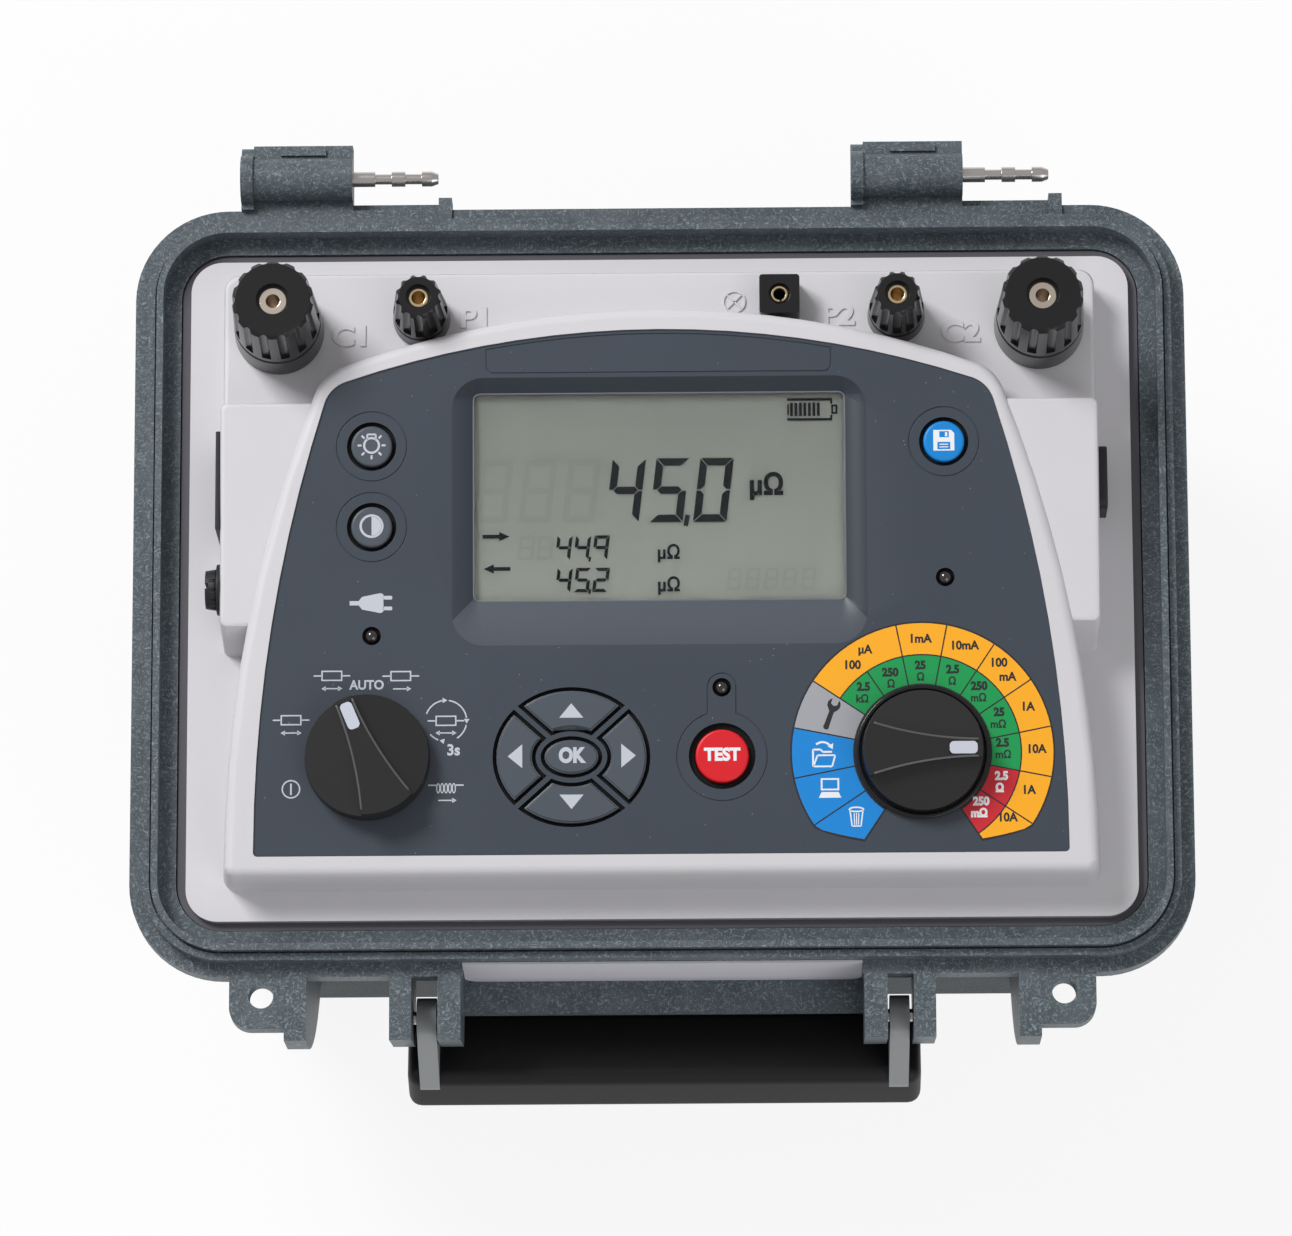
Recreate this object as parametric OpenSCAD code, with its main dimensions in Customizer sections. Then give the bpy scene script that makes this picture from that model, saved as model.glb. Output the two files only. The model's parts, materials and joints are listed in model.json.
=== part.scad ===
// Portable low-resistance ohmmeter in a rugged moulded case, with its lid lifted off.
// Millimetres, +Z up, front (handle) towards -Y. The origin lies on the ground under the
// middle of the whole outline.

/* [Case] */
// Width of the case at its flange
case_w = 315; // [290:1:340]
// Depth of the case at its flange, without hinges and handle
case_d = 235; // [225:1:260]
// Height of the flange's top above the ground
case_h = 117.5; // [100:0.5:150]
// Corner radius of the flange
case_corner_r = 28; // [24:1:34]
// Thickness of the flange
flange_t = 7; // [5:0.5:9]
// Thickness of the tub's walls and floor
case_wall = 3.5; // [2.5:0.5:5]
// How far the tub's wall stands in from the flange edge at the top
tub_inset = 10; // [8:0.5:12]
// How much further in the wall stands at the floor
tub_draft = 11; // [6:0.5:16]
// Rounding of the tub's bottom edge
tub_round = 9; // [4:0.5:14]
// Height of the rubber feet
foot_h = 3; // [2:0.5:6]
// Radius of the rubber feet
foot_r = 9; // [6:0.5:12]

/* [Rim] */
// Flat part of the flange outside the sealing beads
rim_flat = 4.2; // [3:0.1:6]
// Width of each sealing bead
bead_w = 2; // [1:0.1:3]
// Width of the groove between the beads
bead_gap = 0.6; // [0.4:0.1:1.5]
// Height of the outer bead above the flange
outer_bead_h = 5; // [3:0.5:6]
// Height of the inner bead above the flange
inner_bead_h = 7.5; // [5:0.5:9]
// Width of the ledge between the inner bead and the gasket
ledge_w = 5; // [4:0.1:6]
// Thickness of the gasket under the panel
gasket_t = 3; // [2:0.5:4]
// Width of the gasket
gasket_w = 4.8; // [3.5:0.1:6]

/* [Lid hinges] */
// Radius of the knuckle
knuckle_r = 6.5; // [5:0.1:8]
// Length of the knuckle with its end plate
knuckle_len = 33.6; // [28:0.1:40]
// Distance of the hinge axis behind the flange edge
hinge_back = 9.1; // [8:0.1:11]
// Height of the hinge axis above the flange
hinge_up = 2; // [0:0.1:4]
// Furthest reach of the knuckle behind the flange edge
hinge_reach = 19.8; // [18:0.1:24]
// Outer end of the left knuckle, in from the case's side
hinge_left_in = 31.6; // [28:0.1:42]
// Inner end of the right knuckle, in from the case's side
hinge_right_in = 99.6; // [88:0.1:108]
// Radius of the lid's hinge pins
pin_r = 2.3; // [1.8:0.1:2.8]
// Free length of the hinge pins
pin_free = 25.9; // [22:0.1:30]

/* [Front fittings] */
// Reach of the ears ahead of the flange edge
ear_reach = 19; // [17:0.5:22]
// Inner face of the fin beside the latch bay, in from the case's side
fin_in = 52.5; // [46:0.5:57]
// Thickness of the fin and of the outer handle ear
fin_w = 6.5; // [5:0.5:8]
// Depth below the flange at which the fin meets the wall
fin_depth = 82; // [70:1:90]
// Depth of the handle ears below the flange
ear_depth = 32; // [28:0.5:36]
// Outer end of the padlock lug, in from the case's side
lug_end_in = 29.8; // [28:0.1:35]
// Reach of the padlock lug ahead of the flange edge
lug_reach = 15.4; // [12:0.1:18]
// Radius of the padlock hole
lug_hole_r = 3.6; // [2.5:0.1:4.2]
// Gap between the name strip and the ears
strip_gap = 0.5; // [0.2:0.1:5]
// Height of the name strip
strip_h = 27; // [20:0.5:30]
// Thickness of the name strip
strip_t = 0.8; // [0.5:0.1:0.8]
// How far the strip's face stands behind the flange edge
strip_in = 3.3; // [2:0.1:3.3]
// Reach of the shelf under the strip ahead of the flange edge
shelf_reach = 6.5; // [3:0.5:8]

/* [Handle] */
// Distance of each handle arm inside the fin
arm_in = 35; // [34:0.1:38]
// Thickness of a handle arm
arm_w = 5.9; // [4:0.1:6.5]
// Gap between the ears that holds a handle arm
arm_slot = 7.7; // [7.5:0.1:8.5]
// Distance of the handle pivot ahead of the flange edge
pivot_out = 9.5; // [9:0.1:10]
// Depth of the handle pivot below the flange
pivot_down = 17; // [16.5:0.1:18]
// Radius of the handle pins
handle_pin_r = 1.95; // [1.5:0.05:2.5]
// Distance of the grip's middle from the pivot
grip_arm = 32; // [31.5:0.5:36]
// Angle of the hanging handle away from plumb
handle_lean = 18; // [15:1:22]
// How far the grip runs past the middle of each arm
grip_over = 6.75; // [5:0.05:9]
// Thickness of the grip, front to back
grip_t = 17; // [14:0.5:19]
// Height of the grip
grip_h = 19; // [16:0.5:20]

/* [Panel] */
// Gap between the panel and the rim at the sides
panel_side_gap = 3; // [1:0.1:5]
// Gap between the panel and the rim at the front and the back
panel_end_gap = 2.7; // [1:0.1:5]
// Corner radius of the panel
panel_r = 9.5; // [8:0.5:12]
// Thickness of the panel's walls
panel_wall = 2.5; // [2:0.1:3]
// Width of the panel's flat border at the sides
border_side = 10.7; // [9:0.1:13]
// Height of the terminal deck above the panel's border
deck_rise = 12.5; // [8:0.5:14]
// Width of the border behind the deck
border_back = 7.3; // [6:0.1:9]
// Front edge of the side blocks at their top, ahead of the centre
block_front = 16.7; // [12:0.1:20]
// Back edge of the side blocks, behind the centre
block_back = 50.6; // [46:0.1:52]
// How far the side blocks lie below the console
block_drop = 1.8; // [1:0.1:3]

/* [Console] */
// Slope of the console, rising to the back
console_tilt = 4.5; // [2:0.1:6]
// Height of the console's front edge above the border
console_rise = 16; // [15:0.5:20]
// Width of the border ahead of the console
border_front = 9.8; // [9:0.1:11]
// How far the console's front corners stand inside the side blocks
console_in = 1.5; // [0.5:0.1:5]
// Radius of the console's bowed sides
console_side_r = 390; // [370:5:420]
// Depth of the deck behind the top of the console's arch
deck_depth = 15.7; // [14:0.1:17]
// Radius of the console's arch
console_arch_r = 272; // [265:1:280]
// Rounding of the console's top edges
console_edge = 3; // [1:0.1:4]
// Thickness of the overlay
overlay_t = 2.4; // [2:0.1:3]
// How far the overlay lies below the bezel
overlay_sink = 0.6; // [0.3:0.1:1]
// Width of the bezel ahead of the overlay
bezel_front = 6; // [4:0.1:8]
// Width of the bezel beside the overlay, at the front
bezel_side = 8.7; // [6:0.1:11]
// Width of the bezel behind the overlay
bezel_back = 6.4; // [5:0.1:8]

/* [Display] */
// Width of the field of keys on each side of the window
side_field = 64.8; // [63:0.1:70]
// Distance of the window from the back of the overlay
window_back = 18.45; // [16:0.05:24]
// Depth of the field of knobs ahead of the window
knob_field = 76.05; // [75:0.05:80]
// Depth of the sloping surround below the overlay
dish_depth = 4; // [2:0.1:5]
// Thickness of the window
glass_t = 1.6; // [1:0.1:3]
// Thickness of the display module
lcd_t = 8; // [5:0.5:10]

/* [Keys and knobs] */
// Radius of the three small round keys
small_key_r = 6.1; // [5:0.1:6.5]
// Radius of the test key
test_key_r = 7.9; // [7:0.1:9]
// Travel of every key
key_travel = 1.5; // [0.5:0.1:2]
// How far the keys stand above the overlay
key_proud = 0.8; // [0.3:0.1:1.5]
// Half width of the arrow pad
nav_rx = 22.1; // [20:0.1:23]
// Half height of the arrow pad
nav_ry = 19.65; // [18:0.05:21]
// Half width of the OK key
ok_rx = 7.95; // [6.5:0.05:8.5]
// Half height of the OK key
ok_ry = 5.05; // [4:0.05:5.5]
// Radius of the function knob at its base
function_knob_r = 18.5; // [16:0.1:20]
// Radius of the range knob at its base
range_knob_r = 18.1; // [16:0.1:20]
// Height of the knobs
knob_h = 10; // [8:0.5:14]
// Radius of the knob shafts
shaft_r = 3; // [2.5:0.1:4]
// Width of the gloss collar round the range knob
collar_ring_w = 1.4; // [1:0.1:2]

/* [Current terminals] */
// Distance of the current terminals in from the deck's side
current_in = 16.7; // [15:0.1:20]
// Distance of the current terminals ahead of the deck's back edge
current_ahead = 17.8; // [16:0.1:19]
// Radius of the collar
current_collar_r = 13.4; // [12:0.1:14]
// Height of the collar
current_collar_h = 12; // [8:0.5:15]
// Radius of the cap at its foot
current_cap_r = 12.9; // [12:0.1:13.4]
// Height of the cap
current_cap_h = 23.2; // [18:0.1:28]
// Radius of the stud
current_stud_r = 4.07; // [3.5:0.01:4.5]

/* [Potential terminals] */
// Distance of the potential terminals in from the deck's side
potential_in = 59.2; // [58:0.1:62]
// Distance of the potential terminals ahead of the deck's back edge
potential_ahead = 14.4; // [11:0.1:14.6]
// Radius of the collar
potential_collar_r = 8.6; // [8:0.1:9]
// Height of the collar
potential_collar_h = 7; // [5:0.5:9]
// Radius of the cap at its foot
potential_cap_r = 8.2; // [7.5:0.1:8.6]
// Height of the cap
potential_cap_h = 18.6; // [15:0.1:22]
// Radius of the stud
potential_stud_r = 2.9; // [2.7:0.05:3.2]

/* [Sockets] */
// Radius of the plug sockets in the studs
socket_r = 2; // [1.5:0.05:2.1]
// Depth of the plug sockets
socket_depth = 19; // [14:0.5:20]
// Side of the probe jack's square block
jack_w = 12; // [10:0.5:13]
// Height of the probe jack above the deck
jack_h = 10; // [6:0.5:12]
// Radius of the probe jack's contact hole
jack_bore_r = 1.75; // [1.25:0.05:2]
// Width of the mains inlet
inlet_w = 29.8; // [28:0.1:31]
// Height of the mains inlet
inlet_h = 21; // [20:0.5:21.5]
// Radius of the fuse holder's flange
fuse_r = 7.6; // [7:0.1:8]
// Width of the data socket
data_w = 19.2; // [17:0.1:21]
// Height of the data socket
data_h = 16; // [13:0.5:17]

/* [Hidden] */
$fn = 64;
// Pieces that touch without a fit keep this gap at a hole or a slot
snug = 0.02;
// Running clearance of a turning shaft
running = 0.06;
// Side clearance of keys, plates and inserts in their openings
slip = 0.3;
// Cuts run past the faces they open by this much
overrun = 1;
// Thickness of the slices that hulls are stretched over
skin = 0.01;
// Facets of rounded corners inside a hull
hull_fn = 32;

// Heights
floor_z = foot_h + case_wall;
flange_under = case_h - flange_t;
tub_top_in = tub_inset + case_wall;
gasket_seat = 4;
gasket_z = case_h - gasket_seat;
panel_under = gasket_z + gasket_t;
panel_top = panel_under + panel_wall;
deck_z = panel_top + deck_rise;

// Distances in from the flange edge
bead_1_in = rim_flat;
bead_2_in = rim_flat + bead_w + bead_gap;
bead_end_in = bead_2_in + bead_w;
groove_h = outer_bead_h * 0.7;
rebate_in = bead_end_in + ledge_w;
gasket_in = rebate_in + slip;
opening_gap = 1;
opening_in = gasket_in + gasket_w + opening_gap;

// Places on the ground plan
foot_x_share = 0.36;
foot_y_share = 0.33;
foot_x = case_w * foot_x_share;
foot_y = case_d * foot_y_share;
hinge_left_x = hinge_left_in - case_w / 2;
hinge_right_x = case_w / 2 - hinge_right_in;
fin_x = case_w / 2 - fin_in;
arm_x = fin_x - arm_in;
slot_shift = 0.15;
ear_gap_x = arm_x - arm_slot / 2 + slot_shift;
inner_ear_w = 6.8;
strip_half = ear_gap_x - inner_ear_w - strip_gap;
lug_corner_r = 6.4;
lug_end_x = case_w / 2 - lug_end_in;
lug_hole_x = lug_end_x - 9.4;
lug_hole_out = 5.7;
shelf_t = 3;
fin_nose = 20;
fin_nose_in = 1;
fin_mid_reach = 11.3;
fin_mid = 43;
fin_foot_in = 5.6;
ear_nose_in = 3;
ear_nose_r = 4;

// Handle: the radius of the section's corners and the reach of the hanging grip
grip_len = 2 * (arm_x + grip_over);
grip_end = 4;
grip_shoulder = 1;
grip_r = 6;
grip_bow = 1.6;
core_r = 3.5;
eye_r = 6;
grip_front = (grip_t / 2 + grip_bow - grip_r) * cos(handle_lean)
    + (grip_h / 2 - grip_r) * sin(handle_lean) + grip_r;
handle_reach = pivot_out + grip_arm * sin(handle_lean) + grip_front;
y_shift = (handle_reach - hinge_reach) / 2;

// Hinge pins
pin_land = 6.8;
pin_groove = 5;
pin_collar = 4.1;
pin_neck_r = pin_r * 0.68;
pin_tip = 2;
pin_seat = 18;
pin_seat_r = pin_r + 0.15;
end_plate = 3.7;
nub_len = 4;
nub_reach = 3.5;
hinge_ledge_reach = 2.2;
rib_h = 7;
bar_len = 13.7;
bar_w = 1.9;

// Panel, console and overlay: half widths and edges, from the rim inwards
panel_w = case_w - 2 * (rebate_in + panel_side_gap);
panel_d = case_d - 2 * (rebate_in + panel_end_gap);
deck_half = panel_w / 2 - border_side;
deck_back = panel_d / 2 - border_back;
console_half = deck_half - console_in;
console_front = panel_d / 2 - border_front;
console_apex = deck_back - deck_depth;
console_z = panel_top + console_rise + console_front * tan(console_tilt);
overlay_half = console_half - bezel_side;
overlay_front = console_front - bezel_front;
overlay_apex = console_apex - bezel_back;

// Console and overlay outlines
console_tangent = console_front - 3.2;
console_corner_r = 12;
console_front_r = 3.5;
console_flare = 1.3;
console_top_t = overlay_sink + overlay_t + 2;
overlay_side_flatter = 60;
overlay_arch_flatter = 18;
overlay_side_r = console_side_r + overlay_side_flatter;
overlay_arch_r = console_arch_r + overlay_arch_flatter;
overlay_corner_r = 10;
overlay_front_r = 1.3;
overlay_under = -overlay_sink - overlay_t;
block_foot = block_front + 4.6;
block_edge = 1.5;
block_r = 2;
deck_r = 4.7;

// Display
window_w = 2 * (overlay_half - side_field);
window_d = overlay_apex - window_back + overlay_front - knob_field;
window_y = (overlay_apex - window_back - overlay_front + knob_field) / 2;
dish_w = window_w + 12.6;
dish_top = window_y + window_d / 2 + 4.2;
dish_bottom = window_y - window_d / 2 - 13.8;
dish_r = 9.4;
window_r = 1;
dish_rim = 1.5;
dish_lip = 0.8;
dish_under = -overlay_sink - dish_depth - dish_lip;
glass_margin = 3.5;
lcd_margin = 4.5;
lcd_under = dish_under - glass_t - lcd_t;

// Keys: the columns beside the window, and the row of knobs ahead of it. The row's places are
// shares of the overlay's half width.
function_share = -0.7195;
pad_share = -0.2187;
test_share = 0.1511;
range_share = 0.6427;
row_in = 29;
range_up = 0.7;
left_column_in = 34.8;
right_column_in = 35.6;
light_up = 14.9;
contrast_down = 9.3;
save_up = 15.2;
mains_lamp_up = 36.4;
hazard_lamp_down = 25.4;
test_lamp_up = 20.4;
row_y = row_in - overlay_front;
left_column = left_column_in - overlay_half;
right_column = overlay_half - right_column_in;
light_at = [left_column, window_y + light_up];
contrast_at = [left_column, window_y - contrast_down];
save_at = [right_column, window_y + save_up];
test_at = [overlay_half * test_share, row_y];
nav_at = [overlay_half * pad_share, row_y];
function_at = [overlay_half * function_share, row_y];
range_at = [overlay_half * range_share, row_y + range_up];
LAMPS = [[left_column, row_y + mains_lamp_up], [right_column, window_y - hazard_lamp_down],
    test_at + [0, test_lamp_up]];

// Levels of the keys below the bezel
small_well = 1.2;
test_well = 1.9;
nav_well = 1.1;
well_depth = 1.4;
key_flange = 1.3;
key_flange_t = 1.5;
key_edge = 0.5;
key_top = -overlay_sink + key_proud;
key_flange_top = -console_top_t - slip;
key_bottom = key_flange_top - key_flange_t;
nav_web = 1.5;
nav_slope = 0.9;
ring_groove_r = small_key_r + 4.3;
keyhole_r = test_key_r + 5.4;
lamp_r = 2.1;
lamp_well = 0.65;
groove_w = 0.4;
groove_depth = 0.3;
plate_half = 51;
plate_depth = 12.9;
plate_bottom = overlay_apex - plate_depth;
plate_in = 1.3;
plate_r = 2;

// Key mat and boards under the console
dome_gap = 0.4;
dome_h = 2.3;
dome_r = 3;
mat_t = 1;
board_t = 1.6;
mat_top = key_bottom - key_travel - dome_gap - dome_h;
board_top = mat_top - mat_t;
board_under = board_top - board_t;
board_half = overlay_half - 22.8;
board_front = console_front - 12.2;
board_back = console_apex - 26;
post_r = 3;
post_in = 6;
post_up = 24.2;
POSTS = [[board_half - post_in, post_in - board_front], [board_half - post_in, row_y + post_up],
    [board_half - post_in, board_back - post_in]];

// Knobs
knob_taper = 0.7;
knob_gap = 0.3;
knob_base = -overlay_sink + knob_gap;
blade_tip = 5.5;
blade_waist = 8.4;
blade_tail = 18;
scoop_drop = 3;
scoop_tilt = 8;
mark_w = 3.8;
mark_len = 8.4;
mark_t = 0.6;
mark_edge = 1.4;
function_turn = 22.5;
range_turn = -90;
switch_r = 14;
switch_h = 13;
shaft_len = 9;

// Places of the terminals
current_x = deck_half - current_in;
current_y = deck_back - current_ahead;
potential_x = deck_half - potential_in;
potential_y = deck_back - potential_ahead;

// Terminal specs: x, y, collar radius, collar height, cap radius, cap top radius, cap height,
// stud radius, recess radius, flutes
CURRENT = [current_x, current_y, current_collar_r, current_collar_h, current_cap_r,
    current_cap_r - 0.9, current_cap_h, current_stud_r, current_stud_r + 0.85, 14];
POTENTIAL = [potential_x, potential_y, potential_collar_r, potential_collar_h, potential_cap_r,
    potential_cap_r - 1.4, potential_cap_h, potential_stud_r, potential_stud_r + 0.8, 12];
cap_gap = 0.4;
cap_recess = 1.8;
cap_round = 1;
ring_t = 1.2;
ring_w = 2.4;
flute_r = 1.6;
flute_bite = 0.9;
stud_nut_r = 3.5;
stud_nut_h = 4;
stud_thread = 8;

// Sockets
jack_in = 34.8;
jack_ahead = 9.9;
jack_at = [potential_x - jack_in, deck_back - jack_ahead];
jack_r = 1;
jack_recess_r = 3.2;
jack_recess = 2;
jack_body = 6;
inlet_y = 28;
inlet_proud = 1.5;
inlet_depth = 20;
inlet_cavity_w = 24;
inlet_cavity_h = 15.2;
inlet_cavity = 16;
inlet_pin = [11, 2, 4];
inlet_pitch = 7;
inlet_pin_up = 2;
socket_flange = 1.6;
fuse_y = -3.4;
fuse_z = panel_top + 12.5;
fuse_flange_t = 1.3;
fuse_cap_r = 6.15;
fuse_cap_h = 3;
fuse_body_r = 5.6;
fuse_body = 24;
fuse_plug_r = 3.6;
fuse_plug = 18;
data_y = 28;
data_proud = 2.7;
data_depth = 14;
data_r = 3;
data_hole = [9, 12.2, 9];
data_tongue = [7, 5.6, 3.2];
side_z = panel_top + 11.2;

// Inside the tub: the free floor, and what is laid out on it
room_in = 39.5;
room_x = case_w / 2 - room_in;
room_y = case_d / 2 - room_in;
aisle = 18;
cell_r = 15.8;
cell_pitch = 2 * cell_r + slip;
cell_len = 60;
shunt_block = [12, 26, 14];
shunt_span = 34;
CELLS = floor((2 * room_x - shunt_block[1]) / cell_pitch);
pack_at = [CELLS * cell_pitch / 2 - room_x, cell_len / 2 - room_y];
pack_wall = 2;
supply_size = [room_x - aisle, 2 * room_y - cell_len - aisle];
supply_at = [room_x - supply_size[0] / 2, room_y - supply_size[1] / 2];
sink_end = 12;
sink_t = 5;
heat_sink_size = [room_x - aisle, supply_size[1] - sink_end, sink_t];
heat_sink_at = [heat_sink_size[0] / 2 - room_x, room_y - heat_sink_size[1] / 2];
sink_fin_t = 2.5;
sink_fin_h = 26;
fin_size = [sink_fin_t, heat_sink_size[1], sink_fin_h];
FINS = 9;
shunt_at = [room_x - shunt_block[1] / 2, shunt_span / 2 + shunt_block[0] - room_y];
shunt_strip_t = 1;
SHUNT_STRIPS = 3;
standoff_h = 6;
standoff_r = 3.5;

// Helpers

// Moves from the flange's centre to the model's origin
module placed() translate([0, y_shift, 0]) children();

// Frame of the sloping console: z is its normal and z = 0 the face of its bezel
module on_console() placed() translate([0, 0, console_z]) rotate([console_tilt, 0, 0]) children();

// Rectangle with round corners, made of true arcs
module rounded(w, d, r) {
    square([w - 2 * r, d], center = true);
    square([w, d - 2 * r], center = true);
    for (x = [-1, 1], y = [-1, 1])
        translate([x * (w / 2 - r), y * (d / 2 - r)]) circle(r);
}

// Outline of the flange, drawn in from its edge
module rim_outline(inset) rounded(case_w - 2 * inset, case_d - 2 * inset, case_corner_r - inset);

// A slab of the flange outline between two heights
module rim_slab(inset, low, high)
    translate([0, 0, low]) linear_extrude(high - low) rim_outline(inset);

function arc(c, r, from, to, n) =
    [for (i = [0:n]) c + r * [cos(from + (to - from) * i / n), sin(from + (to - from) * i / n)]];

// Where two circles cross, on the +X side
function crossing(a, ra, b, rb) =
    let (d = norm(b - a), u = (b - a) / d, t = (ra * ra - rb * rb + d * d) / (2 * d),
        h = sqrt(ra * ra - t * t), p = a + t * u + h * [-u[1], u[0]], q = a + t * u - h * [-u[1], u[0]])
    p[0] > q[0] ? p : q;

// Circle through three points: [centre x, centre y, radius]
function circle_through(p, q, s) =
    let (d = 2 * (p[0] * (q[1] - s[1]) + q[0] * (s[1] - p[1]) + s[0] * (p[1] - q[1])),
        x = (p * p * (q[1] - s[1]) + q * q * (s[1] - p[1]) + s * s * (p[1] - q[1])) / d,
        y = (p * p * (s[0] - q[0]) + q * q * (p[0] - s[0]) + s * s * (q[0] - p[0])) / d)
    [x, y, norm(p - [x, y])];

function heading(v) = atan2(v[1], v[0]);

// Right half of the console's shield outline, from the front corner to the top of the arch
function shield_half(half, front, tangent, side_r, apex, arch_r, corner_r, front_r, inset) =
    let (side_c = [half - side_r, -tangent], arch_c = [0, apex - arch_r],
        top_c = crossing(side_c, side_r - corner_r, arch_c, arch_r - corner_r),
        front_y = front_r - front,
        front_c = [side_c[0] + sqrt(pow(side_r - front_r, 2) - pow(front_y + tangent, 2)), front_y],
        side_from = heading(front_c - side_c), side_to = heading(top_c - side_c),
        arch_from = heading(top_c - arch_c))
    concat(arc(front_c, front_r - inset, -90, side_from, 5),
        arc(side_c, side_r - inset, side_from + (side_to - side_from) / 10, side_to, 9),
        arc(top_c, corner_r - inset, side_to + (arch_from - side_to) / 7, arch_from, 6),
        arc(arch_c, arch_r - inset, arch_from + (90 - arch_from) / 9, 90, 8));

function closed(half_points) =
    concat(half_points, [for (i = [len(half_points) - 2:-1:0]) [-half_points[i][0], half_points[i][1]]]);

function console_outline(inset) =
    closed(shield_half(console_half, console_front, console_tangent, console_side_r,
        console_apex, console_arch_r, console_corner_r, console_front_r, inset));

function overlay_outline(inset) =
    closed(shield_half(overlay_half, overlay_front, overlay_front, overlay_side_r,
        overlay_apex, overlay_arch_r, overlay_corner_r, overlay_front_r, inset));

function ellipse(rx, ry) = [for (a = [0:6:354]) [rx * cos(a), ry * sin(a)]];

// A slice of a shape for a hull, at a height
module slice(z) translate([0, 0, z]) linear_extrude(skin) children();

// An outline of [Y, Z] points, drawn along X
module along_x(x, w) translate([x, 0, 0]) rotate([90, 0, 90]) linear_extrude(w) children();

// A point of the front fittings: out ahead of the flange edge, down from its top
function front_point(out, down) = [-case_d / 2 - out, case_h - down];

// Case

module tub_outer() hull() {
    slice(flange_under) rounded(case_w - 2 * tub_inset, case_d - 2 * tub_inset,
        case_corner_r - tub_inset / 2, $fn = hull_fn);
    for (a = [0:30:90])
        slice(foot_h + tub_round * (1 - cos(a)))
            tub_floor(tub_round * (1 - sin(a)));
}

module tub_floor(inset) rounded(case_w - 2 * (tub_inset + tub_draft + inset),
    case_d - 2 * (tub_inset + tub_draft + inset), case_corner_r - tub_draft, $fn = hull_fn);

module tub_inner() hull() {
    slice(flange_under) rounded(case_w - 2 * tub_top_in, case_d - 2 * tub_top_in,
        case_corner_r - tub_top_in, $fn = hull_fn);
    slice(floor_z + tub_round) tub_floor(case_wall);
    slice(floor_z) tub_floor(case_wall + tub_round);
}

module hinge_knuckle(x) {
    back = case_d / 2;
    axis_z = case_h + hinge_up;
    translate([x + end_plate, back + hinge_back, axis_z]) rotate([0, 90, 0])
        cylinder(r = knuckle_r, h = knuckle_len - end_plate);
    // Web to the flange, and the flat rib behind the barrel
    translate([x, back - rim_flat, case_h - flange_t])
        cube([knuckle_len, rim_flat + hinge_back, flange_t]);
    translate([x + end_plate, back + hinge_back, case_h - rib_h / 2])
        cube([knuckle_len - end_plate, hinge_reach - hinge_back, rib_h / 2 + hinge_up]);
    translate([x + end_plate + (knuckle_len - end_plate - bar_len) / 2,
        back + hinge_back + knuckle_r + bar_w / 2, axis_z - bar_w / 2])
        cube([bar_len, bar_w, bar_w]);
    along_x(x, end_plate) {
        translate([back + hinge_back, axis_z]) circle(knuckle_r + bar_w / 2);
        translate([back, case_h - rib_h / 2]) square([hinge_reach - knuckle_r / 2, rib_h / 2 + hinge_up]);
        translate([back + hinge_reach - knuckle_r / 2, axis_z - knuckle_r / 2]) circle(knuckle_r / 2);
        translate([back, case_h - flange_t]) square([hinge_back, flange_t + hinge_up]);
    }
}

module hinge_ledge(x) {
    translate([x, case_d / 2 - rim_flat, case_h - flange_t])
        cube([pin_free + nub_len / 2, rim_flat + hinge_ledge_reach, flange_t - hinge_up]);
    translate([x + pin_free, case_d / 2 - rim_flat, case_h - flange_t])
        cube([nub_len, rim_flat + nub_reach, flange_t + hinge_up / 2]);
}

// Tall swept fin on the outer side of a latch bay
module latch_fin() {
    nose = front_point(ear_reach - fin_nose_in, fin_nose);
    foot = front_point(-tub_inset - fin_foot_in, fin_depth);
    c = circle_through(nose, front_point(fin_mid_reach, fin_mid), foot);
    centre = [c[0], c[1]];
    // The sweep runs round the front, where the headings pass 180 degrees
    along_x(fin_x, fin_w) polygon(concat(
        [front_point(-tub_top_in, 0), front_point(ear_reach, 0)],
        arc(centre, c[2], (heading(nose - centre) + 360) % 360, (heading(foot - centre) + 360) % 360, 14),
        [front_point(-tub_inset - tub_draft, fin_depth)]));
}

// One ear of the pair that holds a handle arm
module handle_ear(x, w) {
    nose = front_point(ear_reach - ear_nose_in - ear_nose_r, ear_depth - ear_nose_r);
    along_x(x, w) polygon(concat(
        [front_point(-tub_top_in, 0), front_point(ear_reach, 0)],
        arc(nose, ear_nose_r, 180, 270, 6),
        [front_point(-tub_top_in - ear_nose_r, ear_depth + ear_nose_r * 2)]));
}

// Lug with its padlock hole, in the corner between the fin and the flange
module padlock_lug(side) color("#4e575e") placed() mirror([side, 0, 0])
    translate([fin_x + fin_w, -case_d / 2 - lug_reach, flange_under]) linear_extrude(flange_t) {
        lug_w = lug_end_x - fin_x - fin_w;
        difference() {
            union() {
                square([lug_w - lug_corner_r, lug_reach]);
                translate([0, lug_corner_r]) square([lug_w, lug_reach - lug_corner_r]);
                translate([lug_w - lug_corner_r, lug_corner_r]) circle(lug_corner_r);
            }
            translate([lug_hole_x - fin_x - fin_w, lug_reach - lug_hole_out]) circle(lug_hole_r);
        }
    }

module padlock_lug_left() padlock_lug(1);
module padlock_lug_right() padlock_lug(0);

module front_fittings() {
    latch_fin();
    handle_ear(ear_gap_x + arm_slot, fin_w);
    handle_ear(ear_gap_x - inner_ear_w, inner_ear_w);
}

module handle_pin_hole(r) translate([ear_gap_x - inner_ear_w - overrun,
    -case_d / 2 - pivot_out, case_h - pivot_down]) rotate([0, 90, 0])
        cylinder(r = r, h = inner_ear_w + arm_slot + fin_w + 2 * overrun);

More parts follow.
